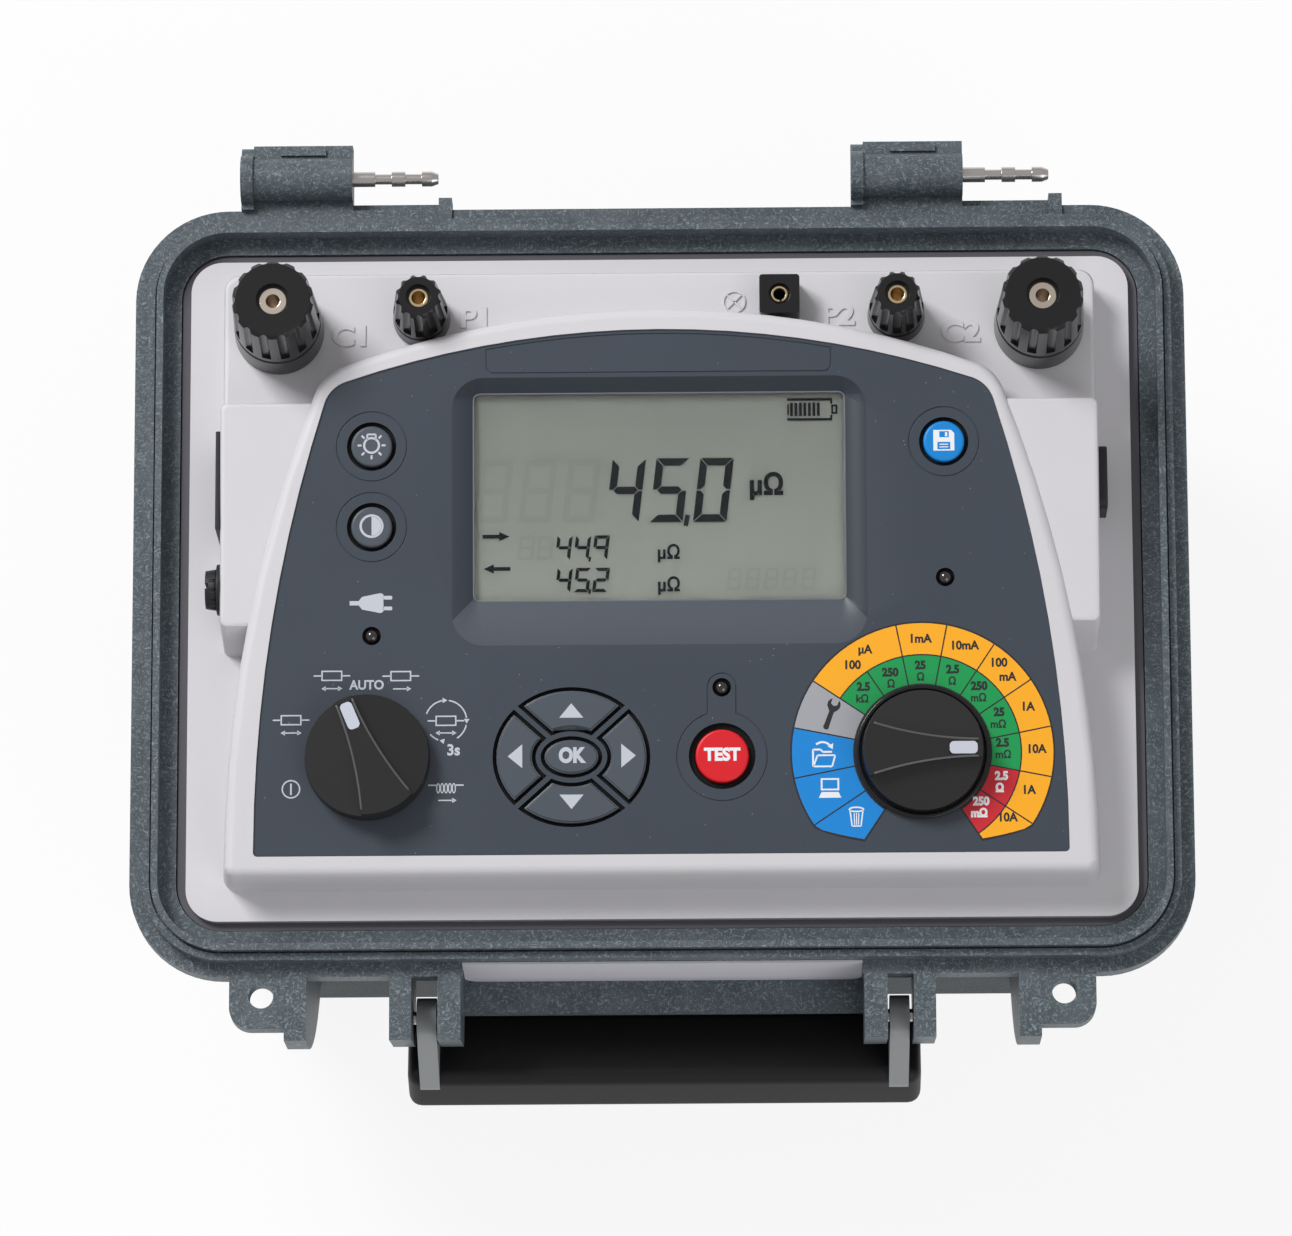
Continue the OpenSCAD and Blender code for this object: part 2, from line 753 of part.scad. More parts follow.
module pin_bore(x) translate([x + knuckle_len - pin_seat, case_d / 2 + hinge_back, case_h + hinge_up])
    rotate([0, 90, 0]) cylinder(r = pin_seat_r + snug, h = pin_seat + overrun);

module case_shell() color("#4e575e") placed() difference() {
    union() {
        tub_outer();
        rim_slab(0, flange_under, case_h);
        rim_slab(bead_1_in, flange_under, case_h + groove_h);
        difference() {
            rim_slab(bead_1_in, flange_under, case_h + outer_bead_h);
            rim_slab(bead_1_in + bead_w, case_h, case_h + outer_bead_h + overrun);
        }
        rim_slab(bead_2_in, flange_under, case_h + inner_bead_h);
        for (x = [hinge_left_x, hinge_right_x]) {
            hinge_knuckle(x);
            hinge_ledge(x + knuckle_len);
        }
        for (side = [0, 1]) mirror([side, 0, 0]) front_fittings();
        // Backing of the name strip and the shelf below it
        translate([-strip_half - overrun, -case_d / 2 + strip_in, case_h - strip_h - shelf_t])
            cube([2 * (strip_half + overrun), tub_top_in, strip_h + shelf_t - flange_t / 2]);
        translate([-strip_half - overrun, -case_d / 2 - shelf_reach, case_h - strip_h - shelf_t])
            cube([2 * (strip_half + overrun), shelf_reach + tub_top_in, shelf_t]);
    }
    tub_inner();
    rim_slab(bead_end_in, case_h, case_h + inner_bead_h + overrun);
    rim_slab(rebate_in, gasket_z, case_h + overrun);
    rim_slab(opening_in, flange_under - overrun, case_h);
    translate([-strip_half, -case_d / 2 - overrun, case_h - strip_h])
        cube([2 * strip_half, overrun + strip_in + strip_t, strip_h + overrun]);
    for (side = [0, 1]) mirror([side, 0, 0]) handle_pin_hole(handle_pin_r + snug);
    for (x = [hinge_left_x, hinge_right_x]) pin_bore(x);
}

module case_feet() color("#202224") placed()
    for (x = [-1, 1], y = [-1, 1]) translate([x * foot_x, y * foot_y, 0]) {
        cylinder(r1 = foot_r - foot_h / 3, r2 = foot_r, h = foot_h);
    }

module hinge_pin(x) color("#b9b7b4") placed()
    translate([x + knuckle_len - pin_seat, case_d / 2 + hinge_back, case_h + hinge_up])
    rotate([0, 90, 0]) rotate_extrude() polygon([[0, 0], [pin_seat_r, 0], [pin_seat_r, pin_seat],
        [pin_r, pin_seat], [pin_r, pin_seat + pin_land], [pin_neck_r, pin_seat + pin_land],
        [pin_neck_r, pin_seat + pin_land + pin_groove],
        [pin_r, pin_seat + pin_land + pin_groove],
        [pin_r, pin_seat + pin_land + pin_groove + pin_collar],
        [pin_neck_r, pin_seat + pin_land + pin_groove + pin_collar],
        [pin_neck_r, pin_seat + pin_land + 2 * pin_groove + pin_collar],
        [pin_r, pin_seat + pin_land + 2 * pin_groove + pin_collar],
        [pin_r, pin_seat + pin_free - pin_tip],
        [pin_neck_r, pin_seat + pin_free], [0, pin_seat + pin_free]]);

module hinge_pin_left() hinge_pin(hinge_left_x);
module hinge_pin_right() hinge_pin(hinge_right_x);

module name_strip() color("#c9c8cf") placed()
    translate([0, -case_d / 2 + strip_in + strip_t, case_h - strip_h]) rotate([90, 0, 0])
    linear_extrude(strip_t) difference() {
        translate([-strip_half + snug, snug]) square([2 * (strip_half - snug), strip_h - snug]);
        for (side = [0, 1]) mirror([side, 0]) translate([strip_half - deck_r, 0]) difference() {
            square(deck_r);
            translate([0, deck_r]) circle(deck_r - snug);
        }
    }

module panel_gasket() color("#6f6d73") placed() translate([0, 0, gasket_z]) linear_extrude(gasket_t)
    difference() {
        rim_outline(gasket_in);
        rim_outline(gasket_in + gasket_w);
    }

// Panel

module console_outer() hull() {
    placed() slice(panel_under) polygon(console_outline(-console_flare));
    on_console() for (a = [0:30:90])
        slice(-console_edge * (1 - sin(a)) - skin)
            polygon(console_outline(console_edge * (1 - cos(a))));
}

module console_inner() hull() {
    placed() slice(panel_under - overrun) polygon(console_outline(panel_wall - console_flare));
    on_console() slice(-console_top_t - skin) polygon(console_outline(panel_wall));
}

// Plan of the side blocks, from block to block under the console
module block_plan(inset, front) translate([0, (block_back - front) / 2])
    rounded(2 * (deck_half - inset), block_back + front - 2 * inset, block_r, $fn = hull_fn);

module blocks_outer() hull() {
    placed() slice(panel_under) block_plan(0, block_foot);
    on_console() {
        slice(-block_drop - block_edge) block_plan(0, block_front);
        slice(-block_drop - block_edge * 0.3) block_plan(block_edge * 0.3, block_front);
        slice(-block_drop - skin) block_plan(block_edge, block_front);
    }
}

module blocks_inner() hull() {
    placed() slice(panel_under - overrun) block_plan(panel_wall, block_foot);
    on_console() slice(-block_drop - panel_wall - skin) block_plan(panel_wall, block_front);
}

module deck_plan(inset) translate([0, (deck_back + block_back) / 2 - block_foot])
    rounded(2 * (deck_half - inset), deck_back - block_back + 2 * (block_foot - inset), deck_r,
        $fn = hull_fn);

module deck_outer() placed() hull() {
    slice(panel_under) deck_plan(0);
    slice(deck_z - block_edge) deck_plan(0);
    slice(deck_z - block_edge * 0.3) deck_plan(block_edge * 0.3);
    slice(deck_z - skin) deck_plan(block_edge);
}

module deck_inner() placed() translate([0, 0, panel_under - overrun])
    linear_extrude(deck_z - panel_wall - panel_under + overrun) deck_plan(panel_wall);

// Outlines of the arrow keys, grown by a clearance
module wedge(slope, gap) polygon([[0, gap], [nav_rx * 2, gap + nav_rx * 2 * slope],
    [-nav_rx * 2, gap + nav_rx * 2 * slope]]);

module arrow_outline(turn, grow) {
    gap = (nav_web / 2 + nav_well - grow);
    slope = turn % 180 == 0 ? nav_slope : 1 / nav_slope;
    difference() {
        intersection() {
            polygon(ellipse(nav_rx + grow, nav_ry + grow));
            rotate(turn) wedge(slope, gap * sqrt(1 + slope * slope));
        }
        polygon(ellipse(ok_rx + nav_well + nav_web + nav_well - grow,
            ok_ry + nav_well + nav_web + nav_well - grow));
    }
}

module ok_outline(grow) polygon(ellipse(ok_rx + grow, ok_ry + grow));

// Every key's opening, grown by a clearance: the small round keys, the test key and the pad
module key_openings(small_grow, test_grow, nav_grow) {
    for (at = [light_at, contrast_at, save_at]) translate(at) circle(small_key_r + small_grow);
    translate(test_at) circle(test_key_r + test_grow);
    translate(nav_at) {
        for (turn = [0:90:270]) arrow_outline(turn, nav_grow);
        ok_outline(nav_grow);
    }
}

module lamp_openings(grow) for (at = LAMPS) translate(at) circle(lamp_r + grow);
module shaft_openings(grow) for (at = [function_at, range_at]) translate(at) circle(shaft_r + grow);

module display_block(grow) translate([0, (dish_top + dish_bottom) / 2])
    rounded(dish_w + 2 * (dish_rim + grow), dish_top - dish_bottom + 2 * (dish_rim + grow),
        dish_r + grow);

module side_cut(x, y, z, size) translate([x - size[0] / 2, y - size[1] / 2, z - size[2] / 2]) cube(size);

module front_panel() color("#d6d5d8") {
    difference() {
        union() {
            placed() translate([0, 0, panel_under]) linear_extrude(panel_wall)
                rounded(panel_w, panel_d, panel_r);
            console_outer();
            blocks_outer();
            deck_outer();
        }
        console_inner();
        blocks_inner();
        deck_inner();
        on_console() {
            translate([0, 0, overlay_under]) linear_extrude(overlay_t + overlay_sink + overrun)
                polygon(overlay_outline(0));
            translate([0, 0, -console_top_t - overrun])
                linear_extrude(console_top_t + overrun) {
                    key_openings(slip, slip, slip);
                    lamp_openings(slip);
                    shaft_openings(slip);
                    display_block(snug);
                }
        }
        placed() translate([0, 0, deck_z - panel_wall - overrun]) {
            for (p = [CURRENT, POTENTIAL], side = [-1, 1])
                translate([side * p[0], p[1], 0]) cylinder(r = p[7] + snug, h = panel_wall + 2 * overrun);
            translate([jack_at[0], jack_at[1], 0]) linear_extrude(panel_wall + 2 * overrun)
                square(jack_w - 2 * jack_r + 2 * snug, center = true);
        }
        placed() {
            side_cut(-deck_half, inlet_y, side_z, [4 * panel_wall, inlet_w - 2 * socket_flange,
                inlet_h - 2 * socket_flange]);
            side_cut(deck_half, data_y, side_z, [4 * panel_wall, data_w - 2 * socket_flange,
                data_h - 2 * socket_flange]);
            translate([-deck_half - overrun, fuse_y, fuse_z]) rotate([0, 90, 0])
                cylinder(r = fuse_body_r + snug, h = panel_wall + 2 * overrun);
        }
    }
    // Posts that carry the board
    on_console() for (side = [-1, 1], at = POSTS) translate([side * at[0], at[1], board_top])
        cylinder(r = post_r, h = -console_top_t - board_top + snug);
}

// Overlay and display

module ring_groove(r) difference() {
    circle(r + groove_w / 2);
    circle(r - groove_w / 2);
}

module keyhole(grow) {
    circle(keyhole_r + grow);
    translate(LAMPS[2] - test_at) circle(2 * lamp_r + grow);
    translate([-2 * lamp_r - grow, 0]) square([4 * lamp_r + 2 * grow, LAMPS[2][1] - test_at[1]]);
}

module name_plate(grow) intersection() {
    translate([0, plate_bottom + overlay_apex / 4]) rounded(2 * (plate_half + grow),
        overlay_apex / 2 + 2 * grow, plate_r);
    translate([0, overlay_apex - overlay_arch_r]) circle(overlay_arch_r - plate_in + grow, $fn = 240);
}

module overlay() color("#434b54") on_console() difference() {
    union() {
        translate([0, 0, overlay_under]) linear_extrude(overlay_t) polygon(overlay_outline(snug));
        translate([0, 0, dish_under]) linear_extrude(overlay_t - dish_under + overlay_under)
            display_block(0);
    }
    hull() {
        slice(-overlay_sink + skin) translate([0, (dish_top + dish_bottom) / 2])
            rounded(dish_w, dish_top - dish_bottom, dish_r, $fn = hull_fn);
        slice(-overlay_sink - dish_depth) translate([0, window_y])
            rounded(window_w, window_d, window_r, $fn = hull_fn);
    }
    translate([0, window_y, dish_under - overrun]) linear_extrude(dish_depth)
        rounded(window_w, window_d, window_r);
    translate([0, 0, -overlay_sink - well_depth]) linear_extrude(well_depth + overrun) {
        key_openings(small_well, test_well, nav_well);
        lamp_openings(lamp_well);
    }
    translate([0, 0, overlay_under - overrun]) linear_extrude(overlay_t + overrun) {
        key_openings(slip, slip, slip);
        lamp_openings(snug);
        shaft_openings(slip);
    }
    translate([0, 0, -overlay_sink - groove_depth]) linear_extrude(groove_depth + overrun) {
        for (at = [light_at, contrast_at, save_at]) translate(at) ring_groove(ring_groove_r);
        translate(test_at) difference() {
            keyhole(groove_w / 2);
            keyhole(-groove_w / 2);
        }
        difference() {
            name_plate(groove_w / 2);
            name_plate(-groove_w / 2);
        }
    }
}

module display_window() color("#b9beae", 0.4) on_console()
    translate([0, window_y, dish_under - glass_t]) linear_extrude(glass_t)
        rounded(window_w + 2 * glass_margin, window_d + 2 * glass_margin, window_r);

module display_module() color("#9da28d") on_console() translate([0, window_y, lcd_under]) {
    linear_extrude(lcd_t) square([window_w + 2 * glass_margin, window_d + 2 * lcd_margin], center = true);
}

module indicator_lamps() color("#3c3a3c") on_console() for (at = LAMPS)
    translate([at[0], at[1], board_top]) rotate_extrude() polygon(concat(
        [[0, 0], [lamp_r, 0]],
        arc([0, -overlay_sink - board_top - lamp_r / 2], lamp_r, 0, 90, 8)));

// Plan of the board and its mat: a U round the display
module board_plan(grow) difference() {
    translate([-board_half - grow, -board_front - grow])
        square([2 * (board_half + grow), board_front + board_back + 2 * grow]);
    translate([-window_w / 2 - lcd_margin - slip, window_y - window_d / 2 - lcd_margin - slip])
        square([window_w + 2 * (lcd_margin + slip), window_d + board_back]);
}

module key_mat() color("#3b3d40") on_console() {
    translate([0, 0, board_top]) linear_extrude(mat_t) difference() {
        board_plan(-slip);
        lamp_openings(slip);
        shaft_openings(2 * slip);
        for (side = [-1, 1], at = POSTS) translate([side * at[0], at[1]]) circle(post_r + slip);
    }
    for (at = [light_at, contrast_at, save_at, test_at, nav_at,
        nav_at + [0, nav_ry * 0.74], nav_at - [0, nav_ry * 0.74],
        nav_at + [nav_rx * 0.74, 0], nav_at - [nav_rx * 0.74, 0]])
        translate([at[0], at[1], mat_top]) cylinder(r1 = dome_r, r2 = dome_r * 0.7, h = dome_h);
}

module main_board() color("#2f6b45") on_console() translate([0, 0, board_under]) linear_extrude(board_t)
    difference() {
        board_plan(0);
        shaft_openings(2 * slip);
    }

// Rotary switches and knobs

module rotary_switch(at) color("#35373a") on_console() translate([at[0], at[1], board_under - switch_h])
    difference() {
        cylinder(r = switch_r, h = switch_h);
        translate([0, 0, switch_h - shaft_len - slip])
            cylinder(r = shaft_r + running, h = shaft_len + overrun);
    }

module function_switch() rotary_switch(function_at);
module range_switch() rotary_switch(range_at);

// Hollow beside the blade: one side of a knob's top, sloping down to its rim
module scoop(r) {
    c = circle_through([blade_tip / 2, r], [blade_waist / 2, 0], [blade_tail / 2, -r]);
    intersection() {
        translate([c[0], c[1], 0]) cylinder(r = c[2], h = knob_h + overrun, $fn = 180);
        translate([blade_waist / 2, 0, knob_h - scoop_drop]) rotate([0, scoop_tilt, 0])
            translate([-r, -2 * r, 0]) cube([3 * r, 4 * r, knob_h]);
    }
}

// A knob with its blade pointing to +Y; z = 0 is its lower face
module knob(r) difference() {
    union() {
        cylinder(r1 = r, r2 = r - knob_taper, h = knob_h);
        translate([0, 0, board_under - knob_base - shaft_len]) cylinder(r = shaft_r,
            h = shaft_len + knob_base - board_under + overrun);
    }
    for (side = [0, 1]) mirror([side, 0, 0]) scoop(r);
    knob_mark(r);
}

module knob_mark(r) translate([-mark_w / 2, r - knob_taper - mark_edge - mark_len, knob_h - mark_t])
    cube([mark_w, mark_len, mark_t]);

module at_knob(at, turn) on_console() translate([at[0], at[1], knob_base]) rotate(turn) children();

module function_knob() color("#26272a") at_knob(function_at, function_turn) knob(function_knob_r);
module function_mark() color("#c3c9d6") at_knob(function_at, function_turn) knob_mark(function_knob_r);
module range_knob() color("#1d1e20") at_knob(range_at, range_turn) knob(range_knob_r);
module range_mark() color("#c3c9d6") at_knob(range_at, range_turn) knob_mark(range_knob_r);

module range_collar() color("#0f1011") on_console() translate([range_at[0], range_at[1], -overlay_sink])
    difference() {
        cylinder(r = range_knob_r + slip + collar_ring_w, h = knob_h / 5);
        translate([0, 0, -overrun]) cylinder(r = range_knob_r + slip, h = knob_h);
    }

// Keys

module round_key(at, r) on_console() translate([at[0], at[1], 0]) rotate_extrude() polygon([
    [0, key_bottom], [r + key_flange, key_bottom], [r + key_flange, key_flange_top],
    [r, key_flange_top], [r, key_top - key_edge], [r - key_edge, key_top], [0, key_top]]);

module pad_key() on_console() translate([nav_at[0], nav_at[1], 0]) {
    translate([0, 0, key_flange_top]) linear_extrude(key_top - key_edge - key_flange_top) children(0);
    translate([0, 0, key_top - key_edge]) linear_extrude(key_edge) children(1);
    translate([0, 0, key_bottom]) linear_extrude(key_flange_t) children(2);
}

module arrow_key(turn) color("#4a525b") pad_key() {
    arrow_outline(turn, 0);
    arrow_outline(turn, -key_edge);
    arrow_outline(turn, key_flange);
}

module light_key() color("#4a525b") round_key(light_at, small_key_r);
module contrast_key() color("#4a525b") round_key(contrast_at, small_key_r);
module save_key() color("#1b87cf") round_key(save_at, small_key_r);
module test_key() color("#e0202c") round_key(test_at, test_key_r);
module up_key() arrow_key(0);
module left_key() arrow_key(90);
module down_key() arrow_key(180);
module right_key() arrow_key(270);
module ok_key() color("#4a525b") pad_key() {
    ok_outline(0);
    ok_outline(-key_edge);
    ok_outline(key_flange);
}

// Terminals; side is -1 for the left one and 1 for the right one

module at_post(p, side) placed() translate([side * p[0], p[1], deck_z]) children();

module post_collar(p, side) color("#2a2b2d") at_post(p, side) difference() {
    rotate_extrude() polygon([[0, 0], [p[2], 0], [p[2] - cap_gap, p[3] - cap_round],
        [p[2] - cap_gap - cap_round, p[3]], [0, p[3]]]);
    translate([0, 0, -overrun]) cylinder(r = p[7] + snug, h = p[3] + 2 * overrun);
}

module post_stud(p, side) color("#c3a45f") at_post(p, side) difference() {
    top = p[3] + cap_gap + p[6] - cap_recess;
    union() {
        translate([0, 0, -panel_wall - stud_thread]) cylinder(r = p[7], h = top + panel_wall + stud_thread);
        translate([0, 0, -panel_wall - stud_nut_h]) cylinder(r = p[7] + stud_nut_r, h = stud_nut_h, $fn = 6);
    }
    translate([0, 0, top - socket_depth]) cylinder(r = socket_r, h = socket_depth + overrun);
}

module post_ring(p, side) color("#b7b4ae") at_post(p, side) translate([0, 0, p[3] + cap_gap / 2])
    difference() {
        cylinder(r = p[7] + ring_w, h = ring_t);
        translate([0, 0, -overrun]) cylinder(r = p[7] + running, h = ring_t + 2 * overrun);
    }

module post_cap(p, side) color("#202123") at_post(p, side) translate([0, 0, p[3] + cap_gap])
    difference() {
        rotate_extrude() polygon([[p[7] + running, 0], [p[4] - cap_round / 2, 0], [p[4], cap_round / 2],
            [p[5], p[6] - cap_round], [p[5] - cap_round, p[6]], [p[8], p[6]], [p[8], p[6] - cap_recess],
            [p[7] + running, p[6] - cap_recess]]);
        translate([0, 0, -overrun]) cylinder(r = p[7] + ring_w + slip, h = ring_t + overrun + slip);
        for (i = [1:p[9]]) rotate(i * 360 / p[9])
            translate([p[4] + flute_r - flute_bite, 0, 0]) rotate([0, -atan((p[4] - p[5]) / p[6]), 0])
                translate([0, 0, p[6] * 0.12]) cylinder(r = flute_r, h = p[6]);
    }

module c1_collar() post_collar(CURRENT, -1);
module c1_stud() post_stud(CURRENT, -1);
module c1_ring() post_ring(CURRENT, -1);
module c1_cap() post_cap(CURRENT, -1);
module c2_collar() post_collar(CURRENT, 1);
module c2_stud() post_stud(CURRENT, 1);
module c2_ring() post_ring(CURRENT, 1);
module c2_cap() post_cap(CURRENT, 1);
module p1_collar() post_collar(POTENTIAL, -1);
module p1_stud() post_stud(POTENTIAL, -1);
module p1_ring() post_ring(POTENTIAL, -1);
module p1_cap() post_cap(POTENTIAL, -1);
module p2_collar() post_collar(POTENTIAL, 1);
module p2_stud() post_stud(POTENTIAL, 1);
module p2_ring() post_ring(POTENTIAL, 1);
module p2_cap() post_cap(POTENTIAL, 1);

// Sockets

module probe_jack() color("#1c1c1e") placed() translate([jack_at[0], jack_at[1], deck_z]) difference() {
    union() {
        linear_extrude(jack_h) rounded(jack_w, jack_w, jack_r);
        translate([0, 0, -panel_wall - jack_body]) linear_extrude(panel_wall + jack_body + overrun)
            square(jack_w - 2 * jack_r, center = true);
    }
    translate([0, 0, jack_h - jack_recess]) cylinder(r = jack_recess_r, h = jack_recess + overrun);
    translate([0, 0, -panel_wall]) cylinder(r = jack_bore_r, h = jack_h + panel_wall);
}

// Mains inlet in the left wall, with its three blades
module mains_inlet() color("#19191b") placed() translate([-deck_half, inlet_y, side_z]) {
    inlet_body_w = inlet_w - 2 * (socket_flange + snug);
    inlet_body_h = inlet_h - 2 * (socket_flange + snug);
    difference() {
        union() {
            translate([-inlet_proud, -inlet_w / 2, -inlet_h / 2]) cube([inlet_proud, inlet_w, inlet_h]);
            translate([-inlet_proud / 2, -inlet_body_w / 2, -inlet_body_h / 2])
                cube([inlet_depth, inlet_body_w, inlet_body_h]);
        }
        translate([-inlet_proud - overrun, -inlet_cavity_w / 2, -inlet_cavity_h / 2])
            cube([inlet_cavity + overrun, inlet_cavity_w, inlet_cavity_h]);
    }
    for (at = [[-inlet_pitch, -inlet_pin_up], [0, inlet_pin_up], [inlet_pitch, -inlet_pin_up]])
        translate([inlet_cavity - inlet_proud - inlet_pin[0], at[0] - inlet_pin[1] / 2,
            at[1] - inlet_pin[2] / 2]) cube([inlet_pin[0] + overrun, inlet_pin[1], inlet_pin[2]]);
}

module fuse_holder() color("#1e1e20") placed() translate([-deck_half, fuse_y, fuse_z]) rotate([0, 90, 0])
    difference() {
        union() {
            translate([0, 0, -fuse_flange_t]) cylinder(r = fuse_r, h = fuse_flange_t);
            translate([0, 0, -fuse_flange_t / 2]) cylinder(r = fuse_body_r, h = fuse_body);
        }
        translate([0, 0, -fuse_flange_t - overrun]) cylinder(r = fuse_plug_r + running,
            h = fuse_plug + fuse_flange_t + overrun + slip);
    }

module fuse_cap() color("#2b2b2e") placed() translate([-deck_half - fuse_flange_t - slip, fuse_y, fuse_z])
    rotate([0, 90, 0]) difference() {
        union() {
            translate([0, 0, -fuse_cap_h])
                cylinder(r1 = fuse_cap_r - cap_round / 2, r2 = fuse_cap_r, h = fuse_cap_h);
            cylinder(r = fuse_plug_r, h = fuse_plug);
        }
        // Coin slot, and knurls round the rim
        translate([-fuse_cap_r, -groove_w * 2, -fuse_cap_h - overrun])
            cube([2 * fuse_cap_r, groove_w * 4, overrun + fuse_cap_h / 3]);
        for (a = [15:30:345]) rotate(a) translate([fuse_cap_r + groove_w, 0, -fuse_cap_h - overrun])
            cylinder(r = groove_w * 2, h = fuse_cap_h + 2 * overrun);
    }

module data_socket() color("#19191b") placed() translate([deck_half, data_y, side_z]) {
    difference() {
        union() {
            rotate([90, 0, 90]) linear_extrude(data_proud) rounded(data_w, data_h, data_r);
            translate([data_proud / 2 - data_depth, -data_w / 2 + socket_flange + snug,
                -data_h / 2 + socket_flange + snug]) cube([data_depth,
                data_w - 2 * (socket_flange + snug), data_h - 2 * (socket_flange + snug)]);
        }
        translate([data_proud - data_hole[0], -data_hole[1] / 2, -data_hole[2] / 2])
            cube([data_hole[0] + overrun, data_hole[1], data_hole[2]]);
    }
    translate([data_proud - data_hole[0] - overrun, -data_tongue[1] / 2, data_hole[2] / 2 - data_tongue[2]])
        cube([data_tongue[0], data_tongue[1], data_tongue[2]]);
}

// Handle

// Frame of the hanging handle: the pivot is the origin and -Z runs to the grip
module at_handle() placed() translate([0, -case_d / 2 - pivot_out, case_h - pivot_down])
    rotate([-handle_lean, 0, 0]) children();

module handle_pin(side) color("#c9c7c3") placed() mirror([side, 0, 0])
    translate([ear_gap_x - inner_ear_w, -case_d / 2 - pivot_out, case_h - pivot_down]) rotate([0, 90, 0])
        cylinder(r = handle_pin_r, h = inner_ear_w + arm_slot + fin_w);
module handle_pin_left() handle_pin(1);
module handle_pin_right() handle_pin(0);

// One arm: an eye on the pin, and a tongue that lies in the front of the grip
module handle_arm() translate([arm_x - arm_w / 2, 0, 0]) rotate([90, 0, 90]) linear_extrude(arm_w) {
    circle(eye_r);
    polygon([[eye_r, 0], [eye_r * 0.4, -grip_arm], [-grip_t / 2 - snug, -grip_arm - grip_h / 4],
        [-grip_t / 2 - snug, -grip_arm], [-eye_r, 0]]);
}

module grip_core(grow) translate([-arm_x, 0, -grip_arm]) rotate([0, 90, 0])
    cylinder(r = core_r + grow, h = 2 * arm_x);

module handle_frame() color("#8b8f91") at_handle() {
    difference() {
        for (side = [0, 1]) mirror([side, 0, 0]) handle_arm();
        translate([-arm_x - arm_w, 0, 0]) rotate([0, 90, 0])
            cylinder(r = handle_pin_r + running, h = 2 * (arm_x + arm_w));
    }
    grip_core(0);
}

module grip_section(x, t, h, bow) translate([x, -bow / 2, -grip_arm]) rotate([90, 0, 90])
    linear_extrude(skin) rounded(t + bow, h, grip_r, $fn = hull_fn);

module handle_grip() color("#1b1b1c") at_handle() difference() {
    hull() {
        for (side = [-1, 1]) {
            grip_section(side * (grip_len - skin) / 2, grip_t - grip_end, grip_h - grip_end, 0);
            grip_section(side * (grip_len / 2 - grip_r / 2), grip_t - grip_shoulder, grip_h - grip_shoulder, 0);
            grip_section(side * (grip_len / 2 - grip_r), grip_t, grip_h, 0);
        }
        grip_section(-skin / 2, grip_t, grip_h, grip_bow);
    }
    for (side = [0, 1]) mirror([side, 0, 0]) handle_arm();
    grip_core(0);
}

// Inside the tub

module battery_pack() color("#3f7fb0") placed() translate([pack_at[0], pack_at[1], floor_z]) {
    for (i = [0:CELLS - 1]) translate([(i - (CELLS - 1) / 2) * cell_pitch, cell_len / 2, cell_r + pack_wall])
        rotate([90, 0, 0]) cylinder(r = cell_r, h = cell_len);
    translate([-CELLS * cell_pitch / 2, -cell_len / 2, 0])
        cube([CELLS * cell_pitch, cell_len, pack_wall + cell_r / 2]);
}

module board_on_posts(size) {
    for (x = [-1, 1], y = [-1, 1])
        translate([x * (size[0] / 2 - 2 * standoff_r), y * (size[1] / 2 - 2 * standoff_r), 0])
            cylinder(r = standoff_r, h = standoff_h);
    translate([-size[0] / 2, -size[1] / 2, standoff_h]) cube([size[0], size[1], board_t]);
}

module power_supply() color("#3a7350") placed() translate([supply_at[0], supply_at[1], floor_z]) {
    top = standoff_h + board_t;
    board_on_posts(supply_size);
    // Transformer, its core band, and the storage capacitors
    translate([-supply_size[0] * 0.42, -supply_size[1] * 0.3, top - overrun])
        cube([supply_size[0] * 0.4, supply_size[1] * 0.5, supply_size[1] * 0.4]);
    translate([-supply_size[0] * 0.34, -supply_size[1] * 0.4, top - overrun])
        cube([supply_size[0] * 0.24, supply_size[1] * 0.7, supply_size[1] * 0.34]);
    for (y = [-0.3, 0, 0.3]) translate([supply_size[0] * 0.28, y * supply_size[1], top - overrun])
        cylinder(r = supply_size[0] * 0.09, h = supply_size[1] * 0.35);
}

module heat_sink() color("#9a9da0") placed() translate([heat_sink_at[0], heat_sink_at[1], floor_z]) {
    board_on_posts([heat_sink_size[0], heat_sink_size[1]]);
    translate([-heat_sink_size[0] / 2, -heat_sink_size[1] / 2, standoff_h + board_t]) {
        cube(heat_sink_size);
        for (i = [0:FINS - 1])
            translate([i * (heat_sink_size[0] - fin_size[0]) / (FINS - 1), 0, heat_sink_size[2] - snug])
                cube(fin_size);
    }
}

module current_shunt() color("#b98d4b") placed() translate([shunt_at[0], shunt_at[1], floor_z]) rotate(90) {
    for (side = [-1, 1]) translate([side * (shunt_span + shunt_block[0]) / 2, 0, 0])
        difference() {
            translate([-shunt_block[0] / 2, -shunt_block[1] / 2, 0]) cube(shunt_block);
            translate([0, 0, shunt_block[2] / 2]) cylinder(r = socket_r, h = shunt_block[2]);
        }
    for (i = [0:SHUNT_STRIPS - 1])
        translate([-shunt_span / 2 - overrun, -shunt_block[1] * 0.4,
            (i + 1) * shunt_block[2] / (SHUNT_STRIPS + 1)])
            cube([shunt_span + 2 * overrun, shunt_block[1] * 0.8, shunt_strip_t]);
}

